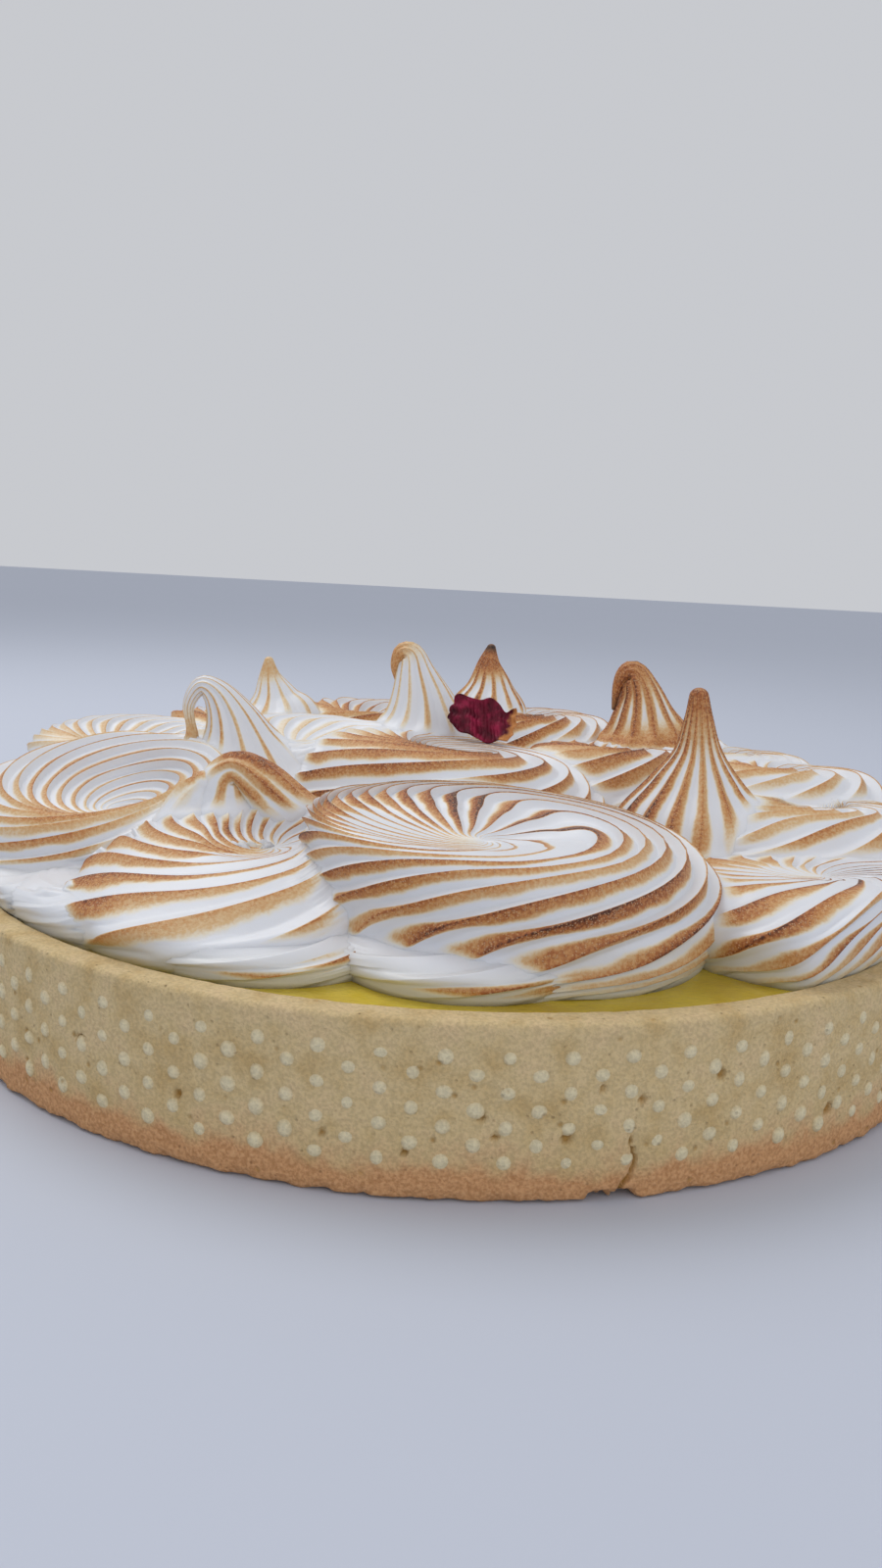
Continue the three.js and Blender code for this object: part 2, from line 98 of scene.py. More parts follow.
# Stations of a rosette from the eye of its hollow to its foot, as the columns of one table.
STATION_LIP = np.array([0.0, 0.28, 0.68, 1.0, 0.5, 0.0, 0.0, 0.0])
STATION_OUTER = np.array([0.0, 0.0, 0.0, 0.0, 0.56, 1.0, 0.98, 0.95])
STATION_RISE = np.array([1.0, 1.0, 1.0, 1.0, 0.95, 0.6, 0.22, 0.0])
STATION_DIP = np.array([1.0, 0.9, 0.45, 0.0, 0.0, 0.0, 0.0, 0.0])
STATION_TURN = (0.0, 22.0, 40.0, 60.0, 103.0, 150.0, 184.0, 210.0)
STATION_RELIEF = np.array([0.0, 0.3, 0.7, 0.8, 1.0, 1.0, 0.7, 0.15])
STATION_TOAST = np.array([0.0, 0.7, 1.05, 1.0, 0.85, 1.05, 0.7, 0.0])
STATION_BAND = np.array([0.25, 0.38, 0.44, 0.46, 0.5, 0.46, 0.42, 0.4])
STATION_SLIP = np.array([0.0, 0.4, 0.9, 1.0, 0.45, 0.0, 0.0, 0.0])
STATION_HOLLOW = np.array([1.0, 1.0, 1.0, 0.6, 0.1, 0.0, 0.0, 0.0])
STATION_PINCH = np.array([0.0, 0.7, 0.95, 1.0, 0.3, 0.0, 0.0, 0.0])

RIDGE_DEPTH = 2.2
PINCH_FLAT = 0.8
KISS_RELIEF = 0.13
KISS_RELIEF_MOST = 1.4
TIP_ROUNDING = 0.8

# How pieces of meringue run into each other, and how the gap between them is measured.
FILLET = 5.0
RIDGE_FADE = 3.2
TOAST_FADE = 4.2
GAP_RINGS = 2
GAP_COLUMNS = 4
GAP_REACH = 8.0
FAR_AWAY = 99.0

# How finely the meringue is sampled. The skin is the light copy that neighbours measure against.
SKIN_RINGS = 30
SKIN_COLUMNS = 48
FEWEST_RINGS = 20
LAST_STATION = 7
PROFILE_SAMPLES = 701
KNOT_SAMPLES = 101
KNOT_STEP = 0.01
TIP_CAP = (0.25, 0.5, 0.72, 0.88, 1.0)

# The ridges: their spread round a piece, strength, section, curling and the ends of marked stretches.
TURN_WAVES = (2, 3, 5)
TURN_DRIFT = (0.01, 0.035)
RIDGE_STRENGTHS = (0.78, 1.12)
RIDGE_SCORCHES = (0.72, 1.1)
GROOVE_PLAIN = 0.70
GROOVE_LEANING = 0.38
CREST_POWER = 1.35
KISS_LEAN = 0.45
CURL_ROUNDS = 5
MARK_FADE = 0.25

# The form's unevenness, how far its foot is sunk, and how high the painted reflected light of the yellow curd
# reaches up its foot.
WOBBLE = 0.35
WOBBLE_SIZE = 17.0
SUNK = 0.5
PAINTED_CURD_LIGHT_RISE = 7.0

# The studio: where both lights aim, in metres, half the side of the floor, and the surround.
LIGHT_AIM = (0, 0, 0.03)
FLOOR_HALF = 6.0
SURROUND = (0.93, 0.95, 1.0, 1.0)
SURROUND_STRENGTH = 0.62


class Slot(Enum):
    """Names of the material slots."""

    CRUST = "crust"
    CURD = "curd"
    MERINGUE = "meringue"
    PETAL = "petal"


def srgb(red: int, green: int, blue: int) -> Colour:
    """A display colour, 0 to 255, as a linear one with alpha."""

    def linear(value: int) -> float:
        share = value / 255
        return share / 12.92 if share <= 0.04045 else ((share + 0.055) / 1.055) ** 2.4

    return (linear(red), linear(green), linear(blue), 1.0)


def through(knots: ndarray, t: ndarray) -> ndarray:
    """Smooth value through evenly spaced knots.

    Args:
        knots: The values, one for each knot.
        t: Places, counted in knots from the first.

    Returns:
        The value at each place.
    """
    last = len(knots) - 1
    k = np.clip(np.floor(t).astype(int), 0, last - 1)
    s = t - k
    p0, p1 = knots[np.maximum(k - 1, 0)], knots[k]
    p2, p3 = knots[k + 1], knots[np.minimum(k + 2, last)]
    m1, m2 = (p2 - p0) / 2, (p3 - p1) / 2
    s2, s3 = s * s, s * s * s
    return (2 * s3 - 3 * s2 + 1) * p1 + (s3 - 2 * s2 + s) * m1 + (3 * s2 - 2 * s3) * p2 + (s3 - s2) * m2


def smoothstep(low: float, high: float, value: ndarray) -> ndarray:
    """Smooth step of value from 0 at low to 1 at high."""
    share = np.clip((value - low) / (high - low), 0.0, 1.0)
    return share * share * (3 - 2 * share)


def held_in(points: ndarray) -> ndarray:
    """Draws points back inside the round room that the shell leaves.

    Args:
        points: Points in millimetres, with x, y and z along the last axis.

    Returns:
        The points, moved towards the axis of the tart where they were too far out.
    """
    reach = np.hypot(points[..., 0], points[..., 1])
    rise = np.clip(points[..., 2] - PIPING_LEVEL, 0.0, LIMIT_RISE)
    free = LIMIT_AT_CURD + LIMIT_SLOPE * rise - LIMIT_SOFTNESS
    over = np.maximum(reach - free, 0.0)
    held = np.where(over > 0, free + LIMIT_SOFTNESS * np.tanh(over / LIMIT_SOFTNESS), reach)
    share = held / np.maximum(reach, 1e-6)
    return points * np.stack([share, share, np.ones_like(share)], axis=-1)


def closed_draws(rng: np.random.Generator, span: Pair, count: int) -> ndarray:
    """Random values for a number of ridges, with the first again at the end."""
    drawn = rng.uniform(*span, count + 1)
    drawn[-1] = drawn[0]
    return drawn


def mixed(weights: tuple[float, ...], grains: tuple[ndarray, ...]) -> ndarray:
    """Weighted sum of several noises."""
    return sum(weight * grain for weight, grain in zip(weights, grains))


def unit(vectors: ndarray) -> ndarray:
    """Vectors along the last axis, made one long."""
    return vectors / np.maximum(np.linalg.norm(vectors, axis=-1, keepdims=True), 1e-9)


def noise_at(points: ndarray, size: float, seed: float) -> ndarray:
    """Smooth noise from -1 to 1.

    Args:
        points: Points in millimetres, with x, y and z along the last axis.
        size: The size of a bump in millimetres.
        seed: Moves the noise, so that pieces differ.

    Returns:
        One value for each point.
    """
    shift = Vector((seed, 1.7 * seed, -0.6 * seed))
    flat = (points / size).reshape(-1, 3).tolist()
    return np.array([noise.noise(Vector(p) + shift) for p in flat]).reshape(points.shape[:-1])


# ---------------------------------------------------------------- turned meshes


@dataclass
class Turned:
    """A closed lathe blank, whose vertices know their ring and their column."""

    rings: int
    columns: int
    mesh: Mesh = field(init=False)
    ring: ndarray = field(init=False)
    column: ndarray = field(init=False)

    def make(self, name: str, top_first: bool) -> Turned:
        """Rolls a grid up into the blank and closes its ends.

        Args:
            name: Name of the mesh.
            top_first: True where the first ring ends up at the top of the piece.

        Returns:
            The blank itself.
        """
        step = -1.0 if top_first else 1.0
        bm = bmesh.new()
        bmesh.ops.create_grid(bm, x_segments=self.columns, y_segments=self.rings - 1, size=0.5)
        for vert in bm.verts:
            turn = (vert.co.x + 0.5) * math.tau
            ring = round((vert.co.y + 0.5) * (self.rings - 1))
            reach = 0.0 if ring in (0, self.rings - 1) else BLANK_RADIUS
            vert.co = (reach * math.cos(turn), reach * math.sin(turn), step * ring)
        bmesh.ops.remove_doubles(bm, verts=bm.verts, dist=1e-3)
        bmesh.ops.recalc_face_normals(bm, faces=bm.faces)
        self.mesh = finished(bm, name, smooth=False)
        co = np.zeros(len(self.mesh.vertices) * 3, np.float32)
        self.mesh.vertices.foreach_get("co", co)
        co = co.reshape(-1, 3)
        self.ring = np.rint(co[:, 2] * step).astype(int)
        turn = np.arctan2(co[:, 1], co[:, 0]) / math.tau * self.columns
        self.column = np.rint(turn).astype(int) % self.columns
        return self

    def place(self, points: ndarray) -> None:
        """Puts the vertices at points[ring, column], given in millimetres."""
        co = points[self.ring, self.column] * MM
        self.mesh.vertices.foreach_set("co", co.astype(np.float32).ravel())
        self.mesh.polygons.foreach_set("use_smooth", [True] * len(self.mesh.polygons))
        self.mesh.update()

    def weigh(self, name: str, values: ndarray) -> None:
        """Stores values[ring, column] as a point attribute."""
        layer = self.mesh.attributes.new(name, "FLOAT", "POINT")
        layer.data.foreach_set("value", values[self.ring, self.column].astype(np.float32))

    def unwrap(self, name: str, columns_per_unit: float) -> None:
        """Adds a UV map: U counts groups of columns round the piece, V is the share of its rings.

        Args:
            name: Name of the map.
            columns_per_unit: How many columns make one unit of U.
        """
        count = len(self.mesh.loops)
        vertex = np.zeros(count, np.int32)
        self.mesh.loops.foreach_get("vertex_index", vertex)
        column = self.column[vertex].astype(float)
        ring = self.ring[vertex]
        starts = np.zeros(len(self.mesh.polygons), np.int32)
        totals = np.zeros(len(self.mesh.polygons), np.int32)
        self.mesh.polygons.foreach_get("loop_start", starts)
        self.mesh.polygons.foreach_get("loop_total", totals)
        face = np.repeat(np.arange(len(starts)), totals)
        pole = (ring == 0) | (ring == self.rings - 1)
        highest = np.full(len(starts), -1.0)
        np.maximum.at(highest, face[~pole], column[~pole])
        wraps = (~pole) & (column < self.columns / 4) & (highest[face] > self.columns * 3 / 4)
        column[wraps] += self.columns
        total = np.zeros(len(starts))
        tally = np.zeros(len(starts))
        np.add.at(total, face[~pole], column[~pole])
        np.add.at(tally, face[~pole], 1.0)
        column[pole] = (total / np.maximum(tally, 1))[face[pole]]
        uv = np.stack([column / columns_per_unit, ring / (self.rings - 1)], axis=-1)
        self.mesh.uv_layers.new(name=name).data.foreach_set("uv", uv.astype(np.float32).ravel())


def grid_normals(points: ndarray, top_first: bool) -> ndarray:
    """Outward normals of a turned grid of points, [ring, column, xyz]."""
    along = np.gradient(points, axis=0)
    across = np.roll(points, -1, axis=1) - np.roll(points, 1, axis=1)
    normals = np.cross(along, across) if top_first else np.cross(across, along)
    normals = unit(normals)
    for pole, beside in ((0, 1), (-1, -2)):
        normals[pole] = unit(normals[beside].mean(axis=0))
    return normals


def finished(bm: bmesh.types.BMesh, name: str, smooth: bool = True) -> Mesh:
    """Turns a bmesh into a mesh and frees it."""
    mesh = bpy.data.meshes.new(name)
    bm.to_mesh(mesh)
    bm.free()
    if smooth:
        mesh.polygons.foreach_set("use_smooth", [True] * len(mesh.polygons))
    return mesh


def link_new(name: str, data: ID) -> Object:
    """Makes an object of some data and links it to the scene."""
    made = bpy.data.objects.new(name, data)
    bpy.context.scene.collection.objects.link(made)
    return made


def lathe_grid(profile: ndarray, turn: ndarray) -> tuple[ndarray, ndarray]:
    """Radius and height of a profile's points, [ring, column]."""
    return profile[:, :1] + 0 * turn, profile[:, 1:] + 0 * turn


def link_piece(mesh: Mesh, name: str, material: Material) -> Object:
    """Makes an object of a finished mesh that rides on the tart.

    Args:
        mesh: The mesh, in metres and in its place.
        name: Name of the piece.
        material: Its material.

    Returns:
        The object.
    """
    mesh.materials.clear()
    mesh.materials.append(material)
    piece = link_new(name, mesh)
    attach(piece, BODY)
    LOG.info("%s: %d faces", name, len(mesh.polygons))
    return piece


# ---------------------------------------------------------------- piped meringue


@dataclass
class Torching:
    """What the torch leaves on a piece, as values for its vertices."""

    toast: ndarray
    band: ndarray
    char: ndarray
    overall: ndarray


@dataclass
class Swirl:
    """One piped piece: a smooth form with spiral ridges that fade where it joins its neighbours."""

    name: str
    at: Pair
    ridges: int
    fineness: int = 14
    step: float = 1.1
    node: str = ""
    toast: float = 1.0
    band: float = 1.0
    seed: int = 1
    crowd: Pair = (0.0, 0.0)
    sheltered: float = 0.0
    fade: float = 1.0
    marked: tuple[tuple[int, float, float], ...] = ()
    skin: BVHTree | None = field(init=False, default=None)
    low: ndarray = field(init=False)
    high: ndarray = field(init=False)

    top_first = True

    def __post_init__(self) -> None:
        """Names the CAD node after the piece where no other is given."""
        self.node = self.node or "meringue_" + self.name.replace("piped", "rosette")

    def stations(self) -> ndarray:
        """The places of the rings along the form, from its first pole to its last."""
        raise NotImplementedError

    def form(self, station: ndarray, angle: ndarray) -> ndarray:
        """Points of the smooth form."""
        raise NotImplementedError

    def relief(self, station: ndarray, heading: ndarray) -> ndarray:
        """Full depth of the ridges at each station and heading."""
        raise NotImplementedError

    def lean(self, station: ndarray) -> ndarray:
        """0 where the torched side of a ridge lies after its crest, 1 where it lies before."""
        raise NotImplementedError

    def torched(self, station: ndarray, heading: ndarray) -> Torching:
        """How the torch has caught the piece at each station and heading."""
        raise NotImplementedError

    def make_skin(self) -> None:
        """Keeps a light copy of the smooth form, against which the neighbours measure."""
        stations = self.stations()
        some = stations[np.unique(np.linspace(0, len(stations) - 1, SKIN_RINGS).astype(int))]
        angles = np.arange(SKIN_COLUMNS) / SKIN_COLUMNS * math.tau
        grid = self.form(some[:, None] + 0 * angles[None, :], angles[None, :] + 0 * some[:, None])
        blank = Turned(len(some), SKIN_COLUMNS).make("skin", self.top_first)
        blank.place(grid)
        bm = bmesh.new()
        bm.from_mesh(blank.mesh)
        bmesh.ops.triangulate(bm, faces=bm.faces)
        bm.normal_update()
        self.skin = BVHTree.FromBMesh(bm)
        bm.free()
        bpy.data.meshes.remove(blank.mesh)
        self.low, self.high = grid.min(axis=(0, 1)), grid.max(axis=(0, 1))

    def evenly(self, run: ndarray, fine: ndarray) -> ndarray:
        """Stations at even steps of a run that is measured at fine stations."""
        count = max(int(run[-1] / self.step), FEWEST_RINGS)
        return np.interp(np.linspace(0, run[-1], count), run, fine)

    def away_from(self, others: list[Swirl], points: ndarray) -> ndarray:
        """Distance from each point to the nearest other piece, negative inside it.

        Args:
            others: All the pieces of meringue.
            points: The smooth form's points, [ring, column, xyz].

        Returns:
            The distances in millimetres, measured on every few points and spread over the rest.
        """
        rings, columns = points.shape[:2]
        some_rings = np.unique(np.append(np.arange(0, rings, GAP_RINGS), rings - 1))
        some_columns = np.arange(0, columns, GAP_COLUMNS)
        flat = points[np.ix_(some_rings, some_columns)].reshape(-1, 3)
        nearest = np.full(len(flat), FAR_AWAY)
        for other in others:
            if other is self:
                continue
            near = np.all((flat > other.low - GAP_REACH) & (flat < other.high + GAP_REACH), axis=1)
            for index in np.nonzero(near)[0]:
                point = Vector(flat[index] * MM)
                spot, normal, _, distance = other.skin.find_nearest(point)
                side = 1.0 if (point - spot).dot(normal) >= 0 else -1.0
                nearest[index] = min(nearest[index], side * distance / MM)
        coarse = nearest.reshape(len(some_rings), len(some_columns))
        coarse = np.concatenate([coarse, coarse[:, :1]], axis=1)
        at_columns = np.append(some_columns, columns)
        wide = np.stack([np.interp(np.arange(columns), at_columns, row) for row in coarse])
        return np.stack([np.interp(np.arange(rings), some_rings, column) for column in wide.T], axis=1)

    def only_marked(self, station: ndarray, ridge: ndarray) -> ndarray:
        """1 on the marked stretches of the marked ridges, 0 elsewhere.

        Args:
            station: Stations of the points, [ring, column].
            ridge: Number of the nearest ridge, [column].

        Returns:
            The shares, [ring, column].
        """
        shares = np.zeros_like(station)
        for number, start, stop in self.marked:
            stretch = smoothstep(start, start + MARK_FADE, station)
            stretch = stretch * smoothstep(stop, stop - MARK_FADE, station)
            shares = np.maximum(shares, stretch * (ridge == number)[None, :])
        return shares

    def ridge_shape(self, phase: ndarray, lean: ndarray) -> ndarray:
        """Height share of the ridges: a sharp crest at whole phases, a round groove between."""
        v = phase % 1.0
        groove = GROOVE_PLAIN - GROOVE_LEANING * lean
        after = np.clip(1 - v / groove, 0, 1) ** CREST_POWER
        before = np.clip(1 - (1 - v) / (1 - groove), 0, 1) ** CREST_POWER
        return np.maximum(after, before)

    def build(self, others: list[Swirl], material: Material) -> Object:
        """Makes the piece.

        Args:
            others: All the pieces of meringue, with their skins made.
            material: The meringue's material.

        Returns:
            The object, which replaces the piece's CAD node.
        """
        rng = np.random.default_rng(self.seed)
        stations = self.stations()
        columns = self.ridges * self.fineness
        phase = np.arange(columns) / self.fineness
        turn = phase / self.ridges * math.tau
        turn = turn + self.crowd[0] * np.sin(turn - math.radians(self.crowd[1]))
        for wave in TURN_WAVES:
            drift = rng.uniform(*TURN_DRIFT) / wave
            turn = turn + drift * np.sin(wave * turn + rng.uniform(0, math.tau))
        station = stations[:, None] + 0 * phase[None, :]
        smooth = self.form(station, turn[None, :] + 0 * station)
        outward = grid_normals(smooth, self.top_first)
        gap = self.away_from(others, smooth)

        strength = closed_draws(rng, RIDGE_STRENGTHS, self.ridges)
        which = np.floor(phase).astype(int)
        share = phase - which
        strong = strength[which] * (1 - share) + strength[which + 1] * share
        scorch = closed_draws(rng, RIDGE_SCORCHES, self.ridges)
        onward = smoothstep(0.6, 1.0, share)
        scorched = scorch[which] * (1 - onward) + scorch[which + 1] * onward

        lean = self.lean(station)
        height = self.ridge_shape(phase[None, :] + 0 * station, lean) - 0.5
        heading = np.arctan2(smooth[..., 1] - self.at[1], smooth[..., 0] - self.at[0])
        apart = smoothstep(-0.6, RIDGE_FADE * self.fade, gap)
        depth = self.relief(station, heading) * strong[None, :] * apart
        fillet = FILLET * self.fade
        fill = fillet / 4 * np.clip(1 - np.maximum(gap, 0) / fillet, 0, 1) ** 2
        wobble = noise_at(smooth, WOBBLE_SIZE, self.seed)
        lift = height * depth + fill + WOBBLE * wobble
        points = smooth + outward * lift[..., None]
        points[0] = points[0].mean(axis=0)
        points[-1] = points[-1].mean(axis=0)

        torched = self.torched(station, heading)
        clear = smoothstep(0.2 * self.fade, TOAST_FADE * self.fade, gap)
        caught = self.only_marked(station, np.round(phase) % self.ridges) if self.marked else clear
        toast = torched.toast * scorched[None, :] * caught * self.toast

        blank = Turned(len(stations), columns).make(self.name, self.top_first)
        blank.place(points)
        blank.unwrap("ridge", self.fineness)
        blank.weigh("toast", toast)
        blank.weigh("lean", lean)
        blank.weigh("band", torched.band * self.band)
        blank.weigh("char", torched.char)
        shade = self.sheltered * smoothstep(0.92, 0.4, outward[..., 2])
        blank.weigh("overall", torched.overall * smoothstep(-0.5, 2.0, gap) * (1 - shade))
        # Painted reflected light of the yellow curd: 1 where the meringue meets the curd, fading out higher
        # up.
        blank.weigh("foot", smoothstep(PAINTED_CURD_LIGHT_RISE, 0.0, points[..., 2] - PIPING_LEVEL))
        piece = link_piece(blank.mesh, self.name, material)
        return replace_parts(piece, self.node)


@dataclass
class Rosette(Swirl):
    """A low ring-shaped swirl with a hollow in its middle."""

    radius: float = 30.0
    height: float = 20.0
    lip: float = 0.5
    hollow: float = 0.0
    tilt: Pair = (0.0, 0.0)
    eye: Pair = (0.0, 0.0)
    oval: Pair = (0.0, 0.0)
    depth: float = RIDGE_DEPTH
    turns: tuple[float, ...] = STATION_TURN
    slip: Pair = (0.0, 0.0)
    caught: Pair = (0.0, 0.0)
    curls: tuple[Curl, ...] = ()
    lean_from: float = 4.7
    pinch: Pair = (0.0, 0.0)

    def spun(self, station: ndarray, angle: ndarray) -> ndarray:
        """Headings of the ridges that stand at the given angles in the eye.

        Args:
            station: Places along the profile.
            angle: Angles of the ridges in the eye.

        Returns:
            The headings, after the turns and after the curls that grow towards one side.
        """
        plain = angle - through(np.radians(self.turns), station)
        heading = plain
        for _ in range(CURL_ROUNDS if self.curls else 0):
            heading = plain - sum(
                math.radians(amount) * smoothstep(start, stop, station)
                * np.cos(heading - math.radians(towards))
                for amount, towards, start, stop in self.curls
            )
        return heading

    def stations(self) -> ndarray:
        """Rings at even steps along the profile."""
        fine = np.linspace(0, LAST_STATION, PROFILE_SAMPLES)
        reach = through(STATION_LIP * self.lip + STATION_OUTER, fine) * self.radius
        rise = through(STATION_RISE * self.height - STATION_DIP * self.hollow, fine)
        run = np.concatenate([[0], np.cumsum(np.hypot(np.diff(reach), np.diff(rise)))])
        return np.concatenate([self.evenly(run, fine), [float(LAST_STATION)]])

    def form(self, station: ndarray, angle: ndarray) -> ndarray:
        """Points of the smooth form. The ring past the last one closes the underside."""
        reach = through(STATION_LIP * self.lip + STATION_OUTER, station)
        rise = through(STATION_RISE - STATION_DIP * self.hollow / self.height, station)
        heading = self.spun(station, angle)
        stretch = 1 + self.oval[0] * np.cos(2 * (heading - math.radians(self.oval[1])))
        inward = np.maximum(1 - reach, 0)
        slip = through(STATION_SLIP, station)
        dx = inward * self.eye[0] + slip * self.slip[0] + self.radius * reach * stretch * np.cos(heading)
        dy = inward * self.eye[1] + slip * self.slip[1] + self.radius * reach * stretch * np.sin(heading)
        z = PIPING_LEVEL + self.height * rise + np.maximum(rise, 0) * (self.tilt[0] * dx + self.tilt[1] * dy)
        points = np.stack([self.at[0] + dx, self.at[1] + dy, z], axis=-1)
        points = held_in(points)
        points[-2, :, 2] -= SUNK
        points[-1] = (self.at[0], self.at[1], PIPING_LEVEL - SUNK)
        return points

    def pinched(self, station: ndarray, heading: ndarray) -> ndarray:
        """How far the ridges thin out where they run together along one side of the lip."""
        towards = np.cos(heading - math.radians(self.pinch[1]))
        inside = 0.7 * smoothstep(3.0, 1.8, station)
        return self.pinch[0] * through(STATION_PINCH, station) * smoothstep(0.1, 0.8, towards + inside)

    def relief(self, station: ndarray, heading: ndarray) -> ndarray:
        """Full depth of the ridges at each station and heading."""
        kept = 1 - PINCH_FLAT * self.pinched(station, heading)
        return self.depth * through(STATION_RELIEF, station) * kept

    def lean(self, station: ndarray) -> ndarray:
        """Low on the flank the torched side is above the crest."""
        return smoothstep(self.lean_from, self.lean_from + 0.9, station)

    def torched(self, station: ndarray, heading: ndarray) -> Torching:
        """How the torch has caught the piece: more on one side of its hollow."""
        amount, side = self.caught
        towards = np.cos(heading - math.radians(side))
        toast = through(STATION_TOAST, station) * (1 + amount * through(STATION_HOLLOW, station) * towards)
        band = through(STATION_BAND, station) * (1 - self.pinched(station, heading))
        none = np.zeros_like(station)
        return Torching(toast, band, none, none)


@dataclass
class Kiss(Swirl):
    """A peaked kiss: a round body swept up a spine that bends in one upright plane."""

    heading: float = 0.0
    turn: float = 20.0
    spine: tuple[Triple, ...] = ()
    char_tip: float = 0.0
    tip_toast: float = 1.0
    tip_from: float = 0.6
    hem: float = 0.0

    top_first = False

    def last(self) -> int:
        """Number of the spine's last knot."""
        return len(self.spine) - 1

    def knots(self, k: int) -> ndarray:
        """The spine's distances, heights or radii."""
        return np.array([knot[k] for knot in self.spine], float)

    def stations(self) -> ndarray:
        """Rings at even steps along the flank, close together round the tip."""
        fine = np.linspace(0, self.last(), KNOT_SAMPLES * self.last())
        run = np.hypot(np.gradient(through(self.knots(0), fine)), np.gradient(through(self.knots(1), fine)))
        run = np.hypot(run, np.gradient(through(self.knots(2), fine)))
        run = np.concatenate([[0], np.cumsum((run[1:] + run[:-1]) / 2)])
        return np.concatenate([[-1.0], self.evenly(run, fine), self.last() + np.array(TIP_CAP)])

    def form(self, station: ndarray, angle: ndarray) -> ndarray:
        """Points of the smooth form; stations past the last knot are the rounded tip."""
        last = self.last()
        along, height, radius = self.knots(0), self.knots(1), self.knots(2)
        t = np.clip(station, 0, last)
        before, after = np.maximum(t - KNOT_STEP, 0), np.minimum(t + KNOT_STEP, last)
        run = through(along, after) - through(along, before)
        climb = through(height, after) - through(height, before)
        length = np.hypot(run, climb)
        past = np.clip(station - last, 0, 1) * math.pi / 2
        r = through(radius, t) * np.cos(past)
        r = np.where(station < 0, 0.0, r)
        onward = radius[-1] * TIP_ROUNDING * np.sin(past)
        turned = angle + math.radians(self.turn) * t / last
        across = r * np.cos(turned)
        forward = through(along, t) + (across * climb + onward * run) / length
        z = through(height, t) + (onward * climb - across * run) / length
        side = r * np.sin(turned)
        c, s = math.cos(math.radians(self.heading)), math.sin(math.radians(self.heading))
        x = self.at[0] + forward * c - side * s
        y = self.at[1] + forward * s + side * c
        return np.stack([x, y, z], axis=-1)

    def relief(self, station: ndarray, heading: ndarray) -> ndarray:
        """Full depth of the ridges at each station."""
        t = np.clip(station, 0, self.last())
        depth = np.minimum(through(self.knots(2), t) * KISS_RELIEF, KISS_RELIEF_MOST)
        return depth * (1 - smoothstep(0.0, 0.5, station - self.last()))

    def lean(self, station: ndarray) -> ndarray:
        """The crests of a kiss are torched on both sides."""
        return np.full_like(station, KISS_LEAN)

    def torched(self, station: ndarray, heading: ndarray) -> Torching:
        """How the torch has caught the piece: its crests, its tip and sometimes its hem."""
        share = np.clip(station / self.last(), 0, 1)
        tip = smoothstep(self.tip_from, self.tip_from + 0.3, share) * self.tip_toast
        hem = smoothstep(0.34, 0.1, share) * self.hem
        char = self.char_tip * smoothstep(0.87, 1.0, share)
        return Torching((share > 0) * 1.0, 0.5 + 0.5 * tip, char, np.maximum(tip, hem))


